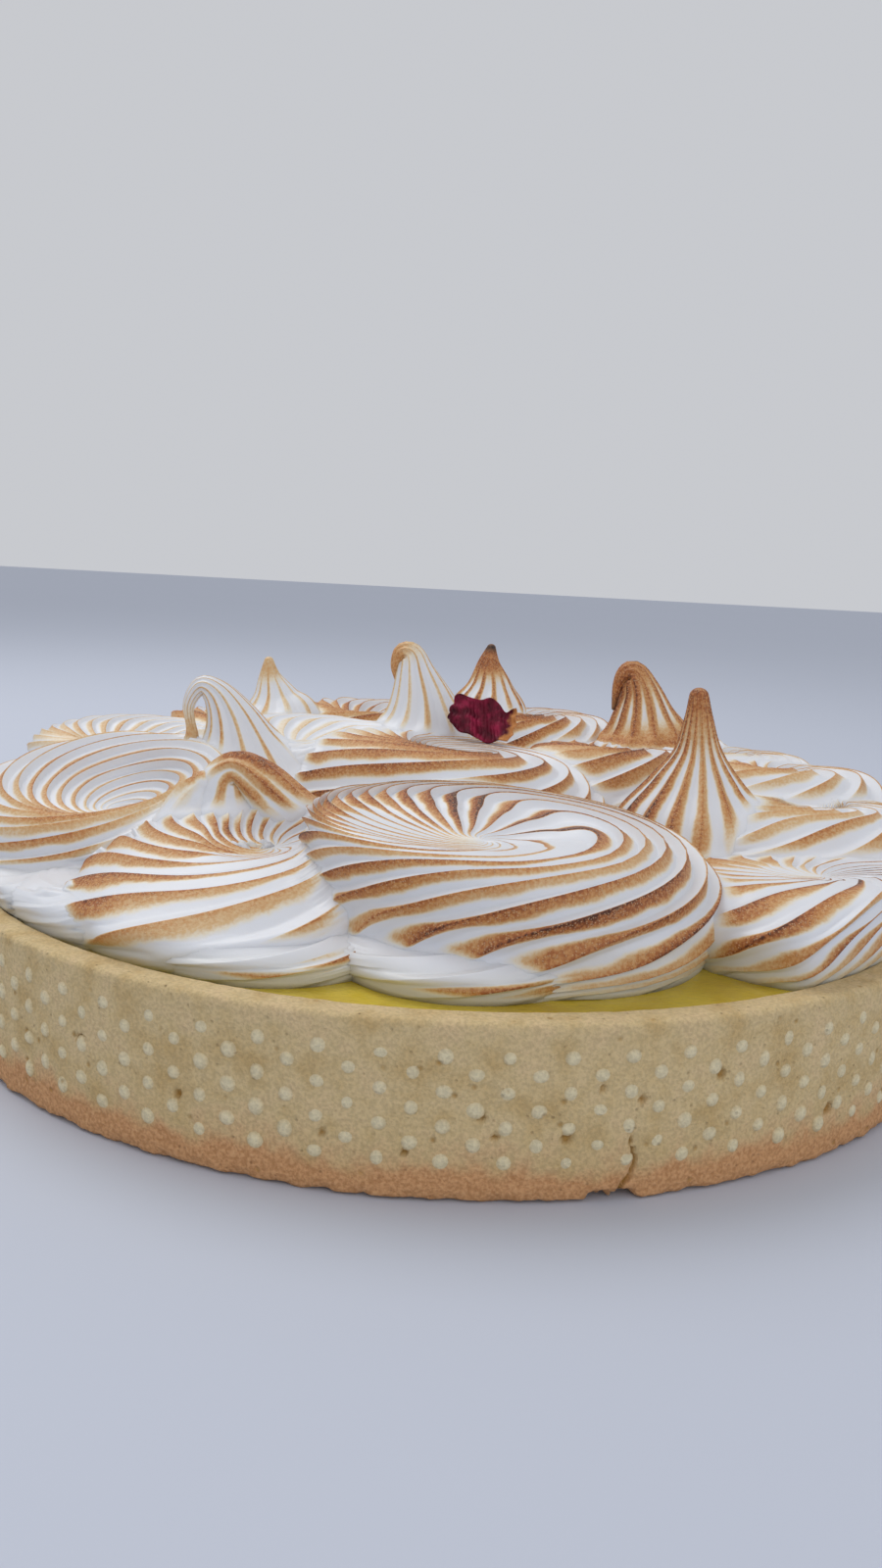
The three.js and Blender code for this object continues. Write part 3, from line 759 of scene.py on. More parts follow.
ROSETTES = (
    Rosette("piped_front", (13, -66), 18, 28, 0.65, band=1.1, seed=3, crowd=(0.15, 30), fade=0.45,
        radius=40.5, height=24, lip=0.68, hollow=5, tilt=(-0.02, 0.05), eye=(-6, 4), oval=(0.05, 165),
        slip=(-8, 1.2), caught=(0.4, 60), turns=(0, 63, 92, 109, 180, 226, 248, 292),
        curls=((28, 250, 0.3, 2.8),), pinch=(0.85, 255)),
    Rosette("piped_front_left", (-43.5, -69), 13, 28, 0.65, toast=0.8, seed=4, fade=0.7, depth=1.5,
        radius=32.5, height=17.5, lip=0.44, hollow=4, tilt=(0.08, 0.2), eye=(7, 9),
        turns=(0, -4, 36, 72, 136, 166, 180, 193), curls=((38, 220, 0.3, 2.8),), lean_from=5.6,
        caught=(0.2, 130), pinch=(0.85, 290)),
    Rosette("piped_left", (-84, -25), 9, 24, 0.6, toast=0.72, band=0.8, seed=5, radius=34, height=22,
        lip=0.64, hollow=7, tilt=(0.1, 0.24), eye=(4, -4), turns=(0, 120, 230, 320, 400, 470, 530, 560)),
    Rosette("piped_front_right", (80, -56), 20, 22, 0.9, toast=0.95, seed=6, depth=1.4, radius=38,
        height=15.5, lip=0.4, hollow=1, tilt=(0.06, -0.1), caught=(-0.8, 150), pinch=(0.85, 225),
        turns=(0, 15, 30, 45, 67, 84, 100, 125)),
    Rosette("piped_right", (90, -9), 30, 14, 0.8, toast=0.65, band=0.75, seed=7, radius=31, height=21.5,
        lip=0.34, hollow=1.5, tilt=(0, -0.05), turns=(0, -28, -55, -83, -55, -36, -3, 30),
        curls=((38, -160, 0.3, 2.8),)),
    Rosette("piped_centre", (-1, 4), 14, 22, 0.8, band=0.85, seed=8, radius=41, height=29.5, lip=0.36,
        hollow=1.5, tilt=(-0.08, -0.04), turns=(0, 80, 160, 230, 290, 350, 400, 430),
        curls=((24, 200, 0.3, 2.8),)),
    Rosette("piped_centre_right", (46, 32), 12, 20, 1.0, seed=9, radius=32, height=27.5, lip=0.35,
        hollow=1, tilt=(0, -0.08)),
    Rosette("piped_centre_left", (-42, 22), 16, 14, 1.1, toast=0.35, seed=10, radius=32, height=29.5,
        lip=0.6, hollow=5, tilt=(0, 0.04), depth=0.9),
    Rosette("piped_middle_left", (-30, -24), 9, 22, 0.8, toast=0.8, seed=24, radius=20, height=14, lip=0.4,
        hollow=1, tilt=(0, 0.05), turns=(0, 100, 200, 280, 345, 400, 440, 480)),
    Rosette("piped_back_left", (-91, 32), 18, 14, 1.1, toast=0.45, seed=11, depth=1.2, radius=31,
        height=25, lip=0.6, hollow=5, tilt=(0, 0.06)),
    Rosette("piped_right_middle", (90, 24), 12, 20, 1.0, toast=0.65, band=0.8, seed=12, radius=31,
        height=25.5, lip=0.34, hollow=1.5, tilt=(0, -0.08)),
    Rosette("piped_right_back", (84, 56), 16, 14, 1.2, toast=0.65, band=0.8, seed=13, radius=27,
        height=24.5, lip=0.34, hollow=1.5, tilt=(0, -0.05)),
    Rosette("piped_back", (24, 75), 16, 14, 1.1, seed=14, radius=31, height=31, lip=0.36, hollow=1.5,
        tilt=(0, -0.03)),
    Rosette("piped_back_centre", (-27, 81), 16, 14, 1.2, toast=0.8, seed=15, radius=31, height=29.5,
        lip=0.5, hollow=5),
    Rosette("piped_back_right", (64, 82), 14, 14, 1.2, toast=0.8, seed=16, radius=27, height=25, lip=0.5,
        hollow=4),
    Rosette("piped_far_left", (-68, 75), 14, 14, 1.2, toast=0.8, seed=17, radius=26, height=26, lip=0.5,
        hollow=4),
    Rosette("piped_front_foot", (4, -82), 8, 28, 0.9, node="meringue_rosette_front", toast=0.9, seed=18,
        fade=0.3, radius=27, height=7, depth=1.0, band=1.5, marked=((2, 5.0, 5.9), (3, 5.2, 6.1))),
    Rosette("piped_front_left_foot", (-34, -80), 8, 28, 0.9, node="meringue_rosette_front_left", toast=0.9,
        seed=19, fade=0.3, radius=26, height=6.5, depth=1.0, band=1.4,
        marked=((2, 4.3, 5.1), (2, 5.3, 5.8))),
    Rosette("piped_corner_foot", (-66, -66), 9, 24, 0.9, node="meringue_rosette_front_left", toast=0.0,
        seed=21, radius=23, height=7, depth=0.6),
    Rosette("piped_left_foot", (-83, -46), 10, 26, 0.9, node="meringue_rosette_left", toast=0.0, seed=20,
        radius=29, height=6, depth=0.6),
)

KISSES = (
    Kiss("kiss_right", (60, -11), 15, 18, 0.8, toast=0.95, band=1.15, seed=31, heading=0, turn=10,
        tip_from=0.6, tip_toast=0.66,
        spine=((0, 31.2, 19), (0, 42, 20), (0, 49.5, 17.5), (0, 57.5, 11), (0, 65, 5.8), (-0.5, 73, 3.4),
            (-1, 78.8, 2.2))),
    Kiss("kiss_left", (-52, -3), 12, 20, 0.8, toast=0.5, band=0.45, seed=32, heading=180, turn=40,
        tip_from=0.72, tip_toast=0.7, char_tip=0.8,
        spine=((-1, 31.2, 20), (-1, 42, 21), (0, 49.5, 17), (2, 58, 10.5), (5, 66.5, 6.2), (8.5, 72, 3.7),
            (12.4, 73.6, 2.3), (15.4, 68.5, 1.5), (14.4, 61, 1.1), (15.8, 54.5, 0.5))),
    Kiss("kiss_centre", (-9, 40), 12, 18, 0.8, toast=0.42, band=0.5, seed=33, heading=180, turn=40,
        tip_from=0.4, tip_toast=0.6, char_tip=0.3,
        spine=((0, 50, 13), (0, 60, 13.5), (1, 68, 9.2), (3, 76, 5.6), (4.6, 81.3, 3.5), (7.2, 81.8, 2.3),
            (8.5, 78, 1.6), (7.6, 73.5, 1), (7.6, 69.5, 0.5))),
    Kiss("kiss_back_left", (-54, 60), 10, 18, 0.9, toast=0.4, band=0.5, seed=34, heading=180, turn=20,
        tip_from=0.6, tip_toast=0.35,
        spine=((0, 50, 11), (0, 60, 12), (1, 65.5, 6.6), (2.5, 71, 3.3), (3, 76, 1.3))),
    Kiss("kiss_back", (10, 76), 12, 16, 0.8, band=0.8, seed=35, heading=0, turn=20, tip_from=0.5,
        tip_toast=0.7, char_tip=1.0,
        spine=((0, 54, 10), (0, 64, 11), (0, 70.5, 7), (-0.5, 77, 3.8), (0, 82.5, 1.5))),
    Kiss("kiss_back_right", (56, 50), 12, 18, 0.8, band=1.35, seed=36, heading=180, turn=30, tip_from=0.3,
        tip_toast=0.62, hem=0.8, char_tip=1.0,
        spine=((0, 50, 13), (0, 59, 13.5), (1, 66, 9.4), (2.5, 73.5, 5.8), (5, 78.6, 3.8),
            (7.6, 77.8, 2.4), (9.2, 74, 1.4), (9.8, 68, 0.6))),
    Kiss("folded_peak", (-50, -46), 8, 24, 0.7, node="meringue_rosette_front_left", toast=0.8, seed=37,
        heading=-10, turn=30, tip_from=0.3, tip_toast=0.9, sheltered=1.0,
        spine=((0, 44, 10), (0, 50, 8), (0, 55, 5.4), (0.5, 58.8, 4.2), (3.5, 60.4, 4), (8.5, 57.6, 4.8),
            (14, 53.8, 4.8), (21, 50, 3.2))),
    Kiss("peak_shoulder", (-57, -48), 6, 24, 0.6, node="meringue_rosette_front_left", toast=0.25, seed=38,
        heading=0, turn=20, tip_from=0.35, tip_toast=0.75, sheltered=1.0,
        spine=((0, 42, 9), (0, 48, 7.4), (0, 52, 5.2), (1, 55, 3.6), (2.5, 57, 2.2))),
)


# ---------------------------------------------------------------- shader writing


class Ink:
    """Writes nodes into one tree, with short calls for what the finishes use most."""

    def __init__(self, tree: NodeTree) -> None:
        """Starts on a tree.

        Args:
            tree: A material's or a group's node tree.
        """
        self.tree = tree

    def put(self, kind: str, inputs: dict | None = None, **settings: object) -> Node:
        """Adds a node.

        Args:
            kind: The node's type, without the ShaderNode in front.
            inputs: Values or sockets for its inputs, by name or number.
            settings: The node's own settings.

        Returns:
            The node.
        """
        node = self.tree.nodes.new("ShaderNode" + kind)
        for key, value in settings.items():
            setattr(node, key, value)
        for key, value in (inputs or {}).items():
            self.feed(node.inputs[key], value)
        return node

    def feed(self, socket: NodeSocket, value: object) -> None:
        """Links a socket to another, or sets its value."""
        if isinstance(value, NodeSocket):
            self.tree.links.new(value, socket)
        else:
            socket.default_value = value

    def math(self, operation: str, a: object, b: object = 0.0, clamp: bool = False) -> NodeSocket:
        """Result of a Math node."""
        return self.put("Math", {0: a, 1: b}, operation=operation, use_clamp=clamp).outputs[0]

    def plus(self, a: object, b: object, clamp: bool = False) -> NodeSocket:
        """Sum of two values."""
        return self.math("ADD", a, b, clamp)

    def less(self, a: object, b: object, clamp: bool = False) -> NodeSocket:
        """The first value less the second."""
        return self.math("SUBTRACT", a, b, clamp)

    def times(self, a: object, b: object) -> NodeSocket:
        """Product of two values."""
        return self.math("MULTIPLY", a, b)

    def most(self, a: object, b: object, clamp: bool = False) -> NodeSocket:
        """The larger of two values."""
        return self.math("MAXIMUM", a, b, clamp)

    def clouds(self, place: object, scale: object, detail: float) -> NodeSocket:
        """Smooth noise from 0 to 1."""
        return self.put("TexNoise", {"Vector": place, "Scale": scale, "Detail": detail}).outputs[0]

    def span(
        self, value: object, low: object, high: object, to_low: float = 0.0, to_high: float = 1.0,
    ) -> NodeSocket:
        """Smooth step of a value from low to high, onto to_low to to_high."""
        node = self.put(
            "MapRange",
            {"Value": value, "From Min": low, "From Max": high, "To Min": to_low, "To Max": to_high},
            interpolation_type="SMOOTHSTEP",
        )
        return node.outputs[0]

    def blend(self, share: object, a: object, b: object, mode: str = "MIX") -> NodeSocket:
        """Colour a turned into colour b by a share."""
        node = self.put("Mix", data_type="RGBA", blend_type=mode)
        self.feed(node.inputs["Factor"], share)
        self.feed(node.inputs[6], a)
        self.feed(node.inputs[7], b)
        return node.outputs[2]

    def ramp(self, value: object, stops: list[tuple[float, Colour]]) -> NodeSocket:
        """Colour of a value from a list of stops."""
        node = self.put("ValToRGB", {0: value})
        elements = node.color_ramp.elements
        while len(elements) < len(stops):
            elements.new(0.5)
        for element, (place, colour) in zip(elements, stops):
            element.position = place
            element.color = colour
        return node.outputs[0]

    def number(self, name: str) -> NodeSocket:
        """A point attribute's value."""
        return self.put("Attribute", attribute_name=name).outputs["Fac"]

    def place(self) -> NodeSocket:
        """Object coordinates, in metres."""
        return self.put("TexCoord").outputs["Object"]


def new_group(name: str, inputs: dict[str, float], outputs: dict[str, str]) -> tuple[NodeTree, Ink, dict]:
    """Starts a shader node group.

    Args:
        name: Name of the group.
        inputs: Its number inputs with their usual values; a vector input Place comes first.
        outputs: Its outputs and their socket types.

    Returns:
        The group, its writer, and its input sockets by name.
    """
    tree = bpy.data.node_groups.new(name, "ShaderNodeTree")
    tree.interface.new_socket("Place", in_out="INPUT", socket_type="NodeSocketVector")
    for key, value in inputs.items():
        tree.interface.new_socket(key, in_out="INPUT", socket_type="NodeSocketFloat").default_value = value
    for key, kind in outputs.items():
        tree.interface.new_socket(key, in_out="OUTPUT", socket_type=kind)
    ink = Ink(tree)
    start = tree.nodes.new("NodeGroupInput")
    return tree, ink, {socket.name: socket for socket in start.outputs if socket.name}


@dataclass(frozen=True)
class SharedEffects:
    """Node groups that more than one finish uses."""

    grain: NodeTree
    bubbles: NodeTree

    @staticmethod
    def make() -> SharedEffects:
        """Builds the groups once."""
        return SharedEffects(SharedEffects.make_grain(), SharedEffects.make_bubbles())

    @staticmethod
    def make_grain() -> NodeTree:
        """Sandy grain: broad mottling and a fine height."""
        tree, ink, start = new_group(
            "sandy_grain", {"Broad": 120.0, "Fine": 1800.0},
            {"Mottle": "NodeSocketFloat", "Height": "NodeSocketFloat"},
        )
        broad = ink.clouds(start["Place"], start["Broad"], 5.0)
        fine = ink.clouds(start["Place"], start["Fine"], 3.0)
        end = tree.nodes.new("NodeGroupOutput")
        ink.feed(end.inputs["Mottle"], broad)
        ink.feed(end.inputs["Height"], fine)
        return tree

    @staticmethod
    def make_bubbles() -> NodeTree:
        """Small round bubbles or pits: 1 in the middle of some cells, 0 elsewhere."""
        tree, ink, start = new_group(
            "fine_bubbles", {"Scale": 2400.0, "Size": 0.35, "Share": 0.5}, {"Spot": "NodeSocketFloat"},
        )
        cells = ink.put("TexVoronoi", {"Vector": start["Place"], "Scale": start["Scale"], "Randomness": 1.0})
        round_spot = ink.span(cells.outputs["Distance"], start["Size"], 0.0)
        pick = ink.put("SeparateColor", {0: cells.outputs["Color"]}).outputs[0]
        chosen = ink.math("LESS_THAN", pick, start["Share"])
        end = tree.nodes.new("NodeGroupOutput")
        ink.feed(end.inputs["Spot"], ink.times(round_spot, chosen))
        return tree


@dataclass(frozen=True)
class Finish:
    """A material made of nodes round one Principled shader."""

    name: str
    effects: SharedEffects
    roughness: float = 0.5
    specular: float = 0.5
    subsurface: float = 0.0
    subsurface_radius: Triple = (1.0, 0.8, 0.6)
    subsurface_scale: float = 0.002

    def start(self) -> tuple[Material, Ink, Node]:
        """A new material, its writer and its shader."""
        material = bpy.data.materials.new(self.name)
        material.use_nodes = True
        ink = Ink(material.node_tree)
        shader = material.node_tree.nodes["Principled BSDF"]
        for key, value in (
            ("Roughness", self.roughness), ("Specular IOR Level", self.specular),
            ("Subsurface Weight", self.subsurface), ("Subsurface Radius", self.subsurface_radius),
            ("Subsurface Scale", self.subsurface_scale),
        ):
            shader.inputs[key].default_value = value
        return material, ink, shader

    def group(self, ink: Ink, tree: NodeTree, place: object, **values: float) -> Node:
        """Places a shared group with its own values."""
        node = ink.put("Group", node_tree=tree)
        ink.feed(node.inputs["Place"], place)
        for key, value in values.items():
            node.inputs[key].default_value = value
        return node

    def bump(self, ink: Ink, shader: Node, height: object, distance: float) -> None:
        """Feeds a height, in units of distance metres, to the shader's normal."""
        node = ink.put("Bump", {"Height": height, "Distance": distance, "Strength": 1.0})
        ink.feed(shader.inputs["Normal"], node.outputs[0])


@dataclass(frozen=True)
class MeringueFinish(Finish):
    """Glossy white meringue with torched crests, bubbly where it is brown."""

    white: Colour = srgb(226, 228, 233)
    # Yellow tint that paints the curd's reflected light onto the meringue near its foot.
    painted_curd_light: Colour = srgb(232, 226, 200)

    def make(self) -> Material:
        """Builds the material."""
        material, ink, shader = self.start()
        place = ink.place()
        map_node = ink.put("UVMap", uv_map="ridge")
        along = ink.put("SeparateXYZ", {0: map_node.outputs[0]}).outputs[0]
        drift = ink.clouds(place, 90.0, 4.0)
        patch = ink.clouds(place, 38.0, 2.0)
        v = ink.math("FRACT", along)
        lean = ink.number("lean")
        band = ink.number("band")
        wide = ink.times(band, ink.span(drift, 0.25, 0.75, 0.75, 1.3))
        narrow = 0.07
        after = ink.plus(ink.times(wide, ink.less(1.0, lean)), narrow)
        before = ink.plus(ink.times(wide, lean), narrow * 0.5)
        under = ink.less(1.0, ink.math("DIVIDE", v, after), clamp=True)
        over = ink.less(1.0, ink.math("DIVIDE", ink.less(1.0, v), before), clamp=True)
        crest = ink.most(under, over)
        amount = ink.times(ink.number("toast"), ink.span(patch, 0.3, 0.7, 0.8, 1.15))
        plateau = ink.span(crest, 0.0, 0.55, 0.0, 0.62)
        edge = ink.times(ink.math("POWER", crest, 5.0), 0.38)
        tone = ink.times(ink.plus(plateau, edge), amount)
        all_over = ink.times(ink.number("overall"), ink.span(drift, 0.25, 0.75, 0.65, 1.1))
        tone = ink.most(tone, all_over)
        fleck = ink.clouds(place, 1500.0, 2.0)
        tone = ink.times(tone, ink.span(fleck, 0.3, 0.7, 0.82, 1.2))
        brown = ink.ramp(tone, [
            (0.0, self.white), (0.12, srgb(230, 220, 200)), (0.28, srgb(218, 186, 140)),
            (0.48, srgb(203, 147, 88)), (0.68, srgb(174, 105, 54)), (0.86, srgb(136, 74, 36)),
            (1.0, srgb(84, 42, 24)),
        ])
        spots = self.group(ink, self.effects.bubbles, place, Scale=2500.0, Size=0.6, Share=0.5).outputs[0]
        pale_spot = ink.times(spots, ink.span(tone, 0.22, 0.6, 0.0, 0.8))
        colour = ink.blend(pale_spot, brown, srgb(236, 200, 158))
        # Painted reflected light: the curd's yellow multiplied into the white near the meringue's foot.
        colour = ink.blend(ink.times(ink.number("foot"), 0.7), colour, self.painted_curd_light, "MULTIPLY")
        char = ink.times(ink.number("char"), ink.span(drift, 0.35, 0.6))
        colour = ink.blend(char, colour, srgb(44, 36, 34))
        ink.feed(shader.inputs["Base Color"], colour)
        ink.feed(shader.inputs["Roughness"], ink.span(tone, 0.1, 0.7, self.roughness, self.roughness + 0.18))
        grain = self.group(ink, self.effects.grain, place, Broad=260.0, Fine=3200.0)
        rough = ink.times(grain.outputs["Height"], ink.span(tone, 0.15, 0.6, 0.06, 0.6))
        height = ink.plus(rough, ink.times(spots, ink.span(tone, 0.2, 0.7, 0.0, 0.8)))
        height = ink.plus(height, ink.times(grain.outputs["Mottle"], 0.5))
        self.bump(ink, shader, height, 0.00025)
        return material


@dataclass(frozen=True)
class CrustFinish(Finish):
    """Pale sandy shortcrust, browner towards its foot, with paler raised dots and small pits."""

    def make(self) -> Material:
        """Builds the material."""
        material, ink, shader = self.start()
        place = ink.place()
        grain = self.group(ink, self.effects.grain, place, Broad=150.0, Fine=1500.0)
        mottle, fine = grain.outputs["Mottle"], grain.outputs["Height"]
        colour = ink.ramp(mottle, [
            (0.30, srgb(196, 168, 118)), (0.50, srgb(208, 184, 138)), (0.72, srgb(216, 196, 154)),
        ])
        bake = ink.plus(ink.number("bake"), ink.span(mottle, 0.3, 0.7, -0.22, 0.22), clamp=True)
        baked = ink.ramp(fine, [
            (0.3, srgb(194, 141, 93)), (0.55, srgb(204, 154, 108)), (0.75, srgb(209, 163, 118)),
        ])
        colour = ink.blend(ink.span(bake, 0.0, 0.8), colour, baked)
        colour = ink.blend(ink.times(ink.number("dot"), 0.75), colour, srgb(226, 216, 184))
        sand = ink.span(fine, 0.35, 0.65, 0.88, 1.06)
        sandy = ink.put("CombineColor", {0: sand, 1: sand, 2: sand}).outputs[0]
        colour = ink.blend(1.0, colour, sandy, "MULTIPLY")
        pits = self.group(ink, self.effects.bubbles, place, Scale=330.0, Size=0.26, Share=0.16).outputs[0]
        specks = self.group(ink, self.effects.bubbles, place, Scale=900.0, Size=0.36, Share=0.10).outputs[0]
        hole = ink.most(ink.times(pits, 0.75), ink.number("pit"), clamp=True)
        colour = ink.blend(hole, colour, srgb(164, 120, 46))
        dark = ink.times(specks, ink.plus(ink.number("rim"), 0.25))
        colour = ink.blend(dark, colour, srgb(96, 66, 34))
        ink.feed(shader.inputs["Base Color"], colour)
        height = ink.less(fine, ink.times(hole, 1.6))
        height = ink.less(height, ink.times(specks, 0.6))
        height = ink.plus(height, ink.times(mottle, 0.8))
        self.bump(ink, shader, height, 0.00035)
        return material


@dataclass(frozen=True)
class CurdFinish(Finish):
    """Glossy lemon curd, a little mottled."""

    def make(self) -> Material:
        """Builds the material."""
        material, ink, shader = self.start()
        place = ink.place()
        grain = self.group(ink, self.effects.grain, place, Broad=60.0, Fine=900.0)
        colour = ink.ramp(grain.outputs["Mottle"], [
            (0.30, srgb(186, 156, 42)), (0.52, srgb(212, 186, 60)), (0.75, srgb(228, 206, 92)),
        ])
        ink.feed(shader.inputs["Base Color"], colour)
        self.bump(ink, shader, ink.plus(grain.outputs["Mottle"], grain.outputs["Height"]), 0.00018)
        return material


@dataclass(frozen=True)
class PetalFinish(Finish):
    """Deep crimson petal with a pale orange end."""

    def make(self) -> Material:
        """Builds the material."""
        material, ink, shader = self.start()
        place = ink.place()
        grain = self.group(ink, self.effects.grain, place, Broad=300.0, Fine=2600.0)
        mottle = grain.outputs["Mottle"]
        crimson = ink.ramp(mottle, [
            (0.3, srgb(60, 6, 22)), (0.5, srgb(100, 12, 38)), (0.75, srgb(160, 34, 72)),
        ])
        end = ink.plus(ink.number("end"), ink.span(mottle, 0.3, 0.7, -0.2, 0.2), clamp=True)
        colour = ink.blend(ink.span(end, 0.55, 0.95), crimson, srgb(206, 140, 84))
        ink.feed(shader.inputs["Base Color"], colour)
        wave = ink.put("TexWave", {"Vector": place, "Scale": 300.0, "Distortion": 6.0, "Detail": 2.0})
        veins = wave.outputs[1]
        self.bump(ink, shader, ink.plus(ink.times(veins, 0.6), mottle), 0.0003)
        return material


@dataclass(frozen=True)
class PlainFinish(Finish):
    """A pale, slightly uneven paint for the floor."""

    colour: Colour = srgb(196, 202, 216)

    def make(self) -> Material:
        """Builds the material."""
        material, ink, shader = self.start()
        grain = self.group(ink, self.effects.grain, ink.place(), Broad=3.0, Fine=40.0)
        share = ink.span(grain.outputs["Mottle"], 0.3, 0.7, 0.0, 0.05)
        ink.feed(shader.inputs["Base Color"], ink.blend(share, self.colour, srgb(184, 190, 204)))
        return material


# ---------------------------------------------------------------- shell, filling and petal


@dataclass
class Crust:
    """The straight-sided shell, with its dot pattern, pits, crack and ragged foot."""

    columns: int = 850
    front_share: float = 0.56
    front_half_angle: float = 62.0
    wall_rows: int = 46
    pitch: float = 6.24
    dot_columns: int = 140
    dot_radius: float = 1.72
    dot_height: float = 0.45
    dot_root: float = 0.28
    dot_segments: int = 12
    dome_profile: tuple[Pair, ...] = (
        (0.0, 1.0), (0.3, 0.94), (0.55, 0.78), (0.75, 0.52), (0.9, 0.22), (1.0, 0.0), (0.0, -1.2),
    )
    lowest_dot: float = 7.66
    crack_turn: float = 16.4
    crack_top: float = 12.0
    wide_notch: float = 30.0
    narrow_notch: float = 34.6
    grains: tuple[Pair, ...] = ((22.0, 3.0), (4.0, 8.0), (1.5, 15.0))
    pits: tuple[Triple, ...] = (
        (-22.0, 13.0, 0.9), (3.9, 15.6, 0.8), (17.2, 18.4, 0.8), (10.8, 12.0, 1.2), (5.0, 12.2, 0.6),
        (-2.2, 8.8, 0.7), (13.6, 20.8, 0.6), (-9.0, 11.0, 0.6), (24.5, 21.5, 0.9), (-33.0, 18.0, 1.0),
        (38.0, 10.0, 1.1), (-47.0, 12.0, 1.2), (48.0, 20.0, 0.9), (80.0, 14.0, 1.3), (-95.0, 18.0, 1.1),
        (140.0, 12.0, 1.4), (-150.0, 16.0, 1.2), (170.0, 20.0, 1.0), (110.0, 9.0, 1.2),
    )

    def angles(self) -> ndarray:
        """Angles of the columns, from the front, closer together at the front."""
        front = int(self.columns * self.front_share)
        half = math.radians(self.front_half_angle)
        near = np.linspace(-half, half, front, endpoint=False)
        far = np.linspace(half, math.tau - half, self.columns - front, endpoint=False)
        return np.concatenate([near, far])

    def profile(self) -> ndarray:
        """Radius and height of each ring, from the middle of the underside round to the floor inside."""
        r, h = CRUST_RADIUS, CRUST_HEIGHT
        inner = r - CRUST_WALL
        under = [(x, 0.0) for x in (0.0, 40.0, 80.0, 105.0, 114.0, 117.0, 118.4, 119.3)]
        wall = [(r, z) for z in np.linspace(0.5, h - 1.0, self.wall_rows)]
        edge = [(r - 0.25, h - 0.5), (r - 0.7, h - 0.12)]
        rim = [(x, h) for x in np.linspace(r - 1.3, inner + 0.6, 9)]
        inside = [(inner + 0.15, h - 0.2)]
        inside += [(inner, z) for z in (h - 0.7, h - 1.4, h - 3.0, CRUST_FLOOR)]
        floor = [(70.0, CRUST_FLOOR), (0.0, CRUST_FLOOR)]
        return np.array(under + wall + edge + rim + inside + floor)

    def build(self, material: Material) -> None:
        """Makes the shell and its dots.

        Args:
            material: The crust's material.
        """
        profile, turn = self.profile(), self.angles()
        radius, height = lathe_grid(profile, turn)
        degrees = (np.degrees(turn)[None, :] + 0 * radius + 180) % 360 - 180
        arc = np.radians(degrees) * CRUST_RADIUS
        plain = np.stack([radius * np.sin(turn), -radius * np.cos(turn), height], axis=-1)
        grains = tuple(noise_at(plain, size, seed) for size, seed in self.grains)
        broad, middle, crumb = grains
        outer = smoothstep(*OUTER_FACE, radius)
        rim = smoothstep(CRUST_HEIGHT - 1.2, CRUST_HEIGHT, height) * smoothstep(*RIM_FACE, radius)
        push = outer * mixed(WALL_GRAIN, grains)
        pit = self.pitted(degrees, height, crumb, outer)
        hollow = np.maximum(pit * 0.9, self.cracked(arc, height, outer) * 0.9)

        ragged = smoothstep(2.6, 0.2, height) * smoothstep(*FOOT_FACE, radius)
        bite = np.clip(middle + 0.5 * crumb, -1, 1)
        notch = smoothstep(3.2, 0.6, np.abs(arc - self.wide_notch - 3 * crumb))
        notch = notch + smoothstep(2.2, 0.5, np.abs(arc - self.narrow_notch))
        push = push - hollow - ragged * (0.35 + 0.75 * bite + 1.1 * notch)
        lift = ragged * (0.30 * bite + 0.30 + 0.9 * notch) * smoothstep(*FOOT_LIFT, radius)
        lift = lift + rim * mixed(RIM_GRAIN, grains)
        lip = smoothstep(*LIP_FROM, radius) * smoothstep(*LIP_TO, radius)
        push = push - lip * rim * 0.12 * middle

        grown = radius + push
        level = np.maximum(height + lift, 0.0)
        points = np.stack([grown * np.sin(turn), -grown * np.cos(turn), level], axis=-1)
        points[0], points[-1] = (0, 0, 0), (0, 0, CRUST_FLOOR)

        blank = Turned(len(profile), self.columns).make("shell", False)
        blank.place(points)
        bake = smoothstep(8.5, 0.5, height + 1.6 * broad + 0.8 * middle) + 0.3 * smoothstep(16.0, 4.0, height)
        blank.weigh("bake", np.clip(bake, 0, 1) * (radius > 112))
        blank.weigh("dot", np.zeros_like(radius))
        blank.weigh("pit", np.clip(hollow, 0, 1) ** 1.5)
        edge = smoothstep(0.9, 0.1, np.abs(radius - (CRUST_RADIUS - 0.7)) + np.abs(height - CRUST_HEIGHT))
        blank.weigh("rim", 0.9 * edge)
        piece = link_piece(blank.mesh, "shell", material)
        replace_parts(piece, "crust")
        self.build_dots(material)

    def pitted(self, degrees: ndarray, height: ndarray, crumb: ndarray, outer: ndarray) -> ndarray:
        """1 in the wall's small pits, 0 elsewhere."""
        pit = np.zeros_like(degrees)
        for where, level, size in self.pits:
            off = np.hypot((degrees - where) / DEGREES_IN_RADIAN * CRUST_RADIUS, (height - level) * 0.9)
            pit = np.maximum(pit, smoothstep(1.25, 0.45, off / size + 0.35 * crumb) * outer)
        return pit

    def cracked(self, arc: ndarray, height: ndarray, outer: ndarray) -> ndarray:
        """1 in the crack that climbs the wall from its foot, 0 elsewhere."""
        line = arc - math.radians(self.crack_turn) * CRUST_RADIUS
        line = line + 0.9 * np.sin(height * 0.55 + 1.0) - 0.12 * (height - 6.0)
        width = 0.4 * (1 - height / self.crack_top) + 0.16
        crack = smoothstep(1.6, 0.4, np.abs(line) / np.maximum(width, 0.05))
        crack = crack * (height < self.crack_top + 3) * outer
        return crack * smoothstep(self.crack_top + 3.0, self.crack_top - 1.0, height)

    def dot_places(self) -> list[Pair]:
        """Turn and height of each dot: a lattice with every other column half a pitch higher."""
        places = []
        for column in range(self.dot_columns):
            turn = column / self.dot_columns * math.tau + DOT_PHASE
            rows = 4 if column % 2 == 0 else 3
            first = self.lowest_dot if column % 2 == 0 else self.lowest_dot + self.pitch / 2
            places += [(turn, first + row * self.pitch) for row in range(rows)]
        return places

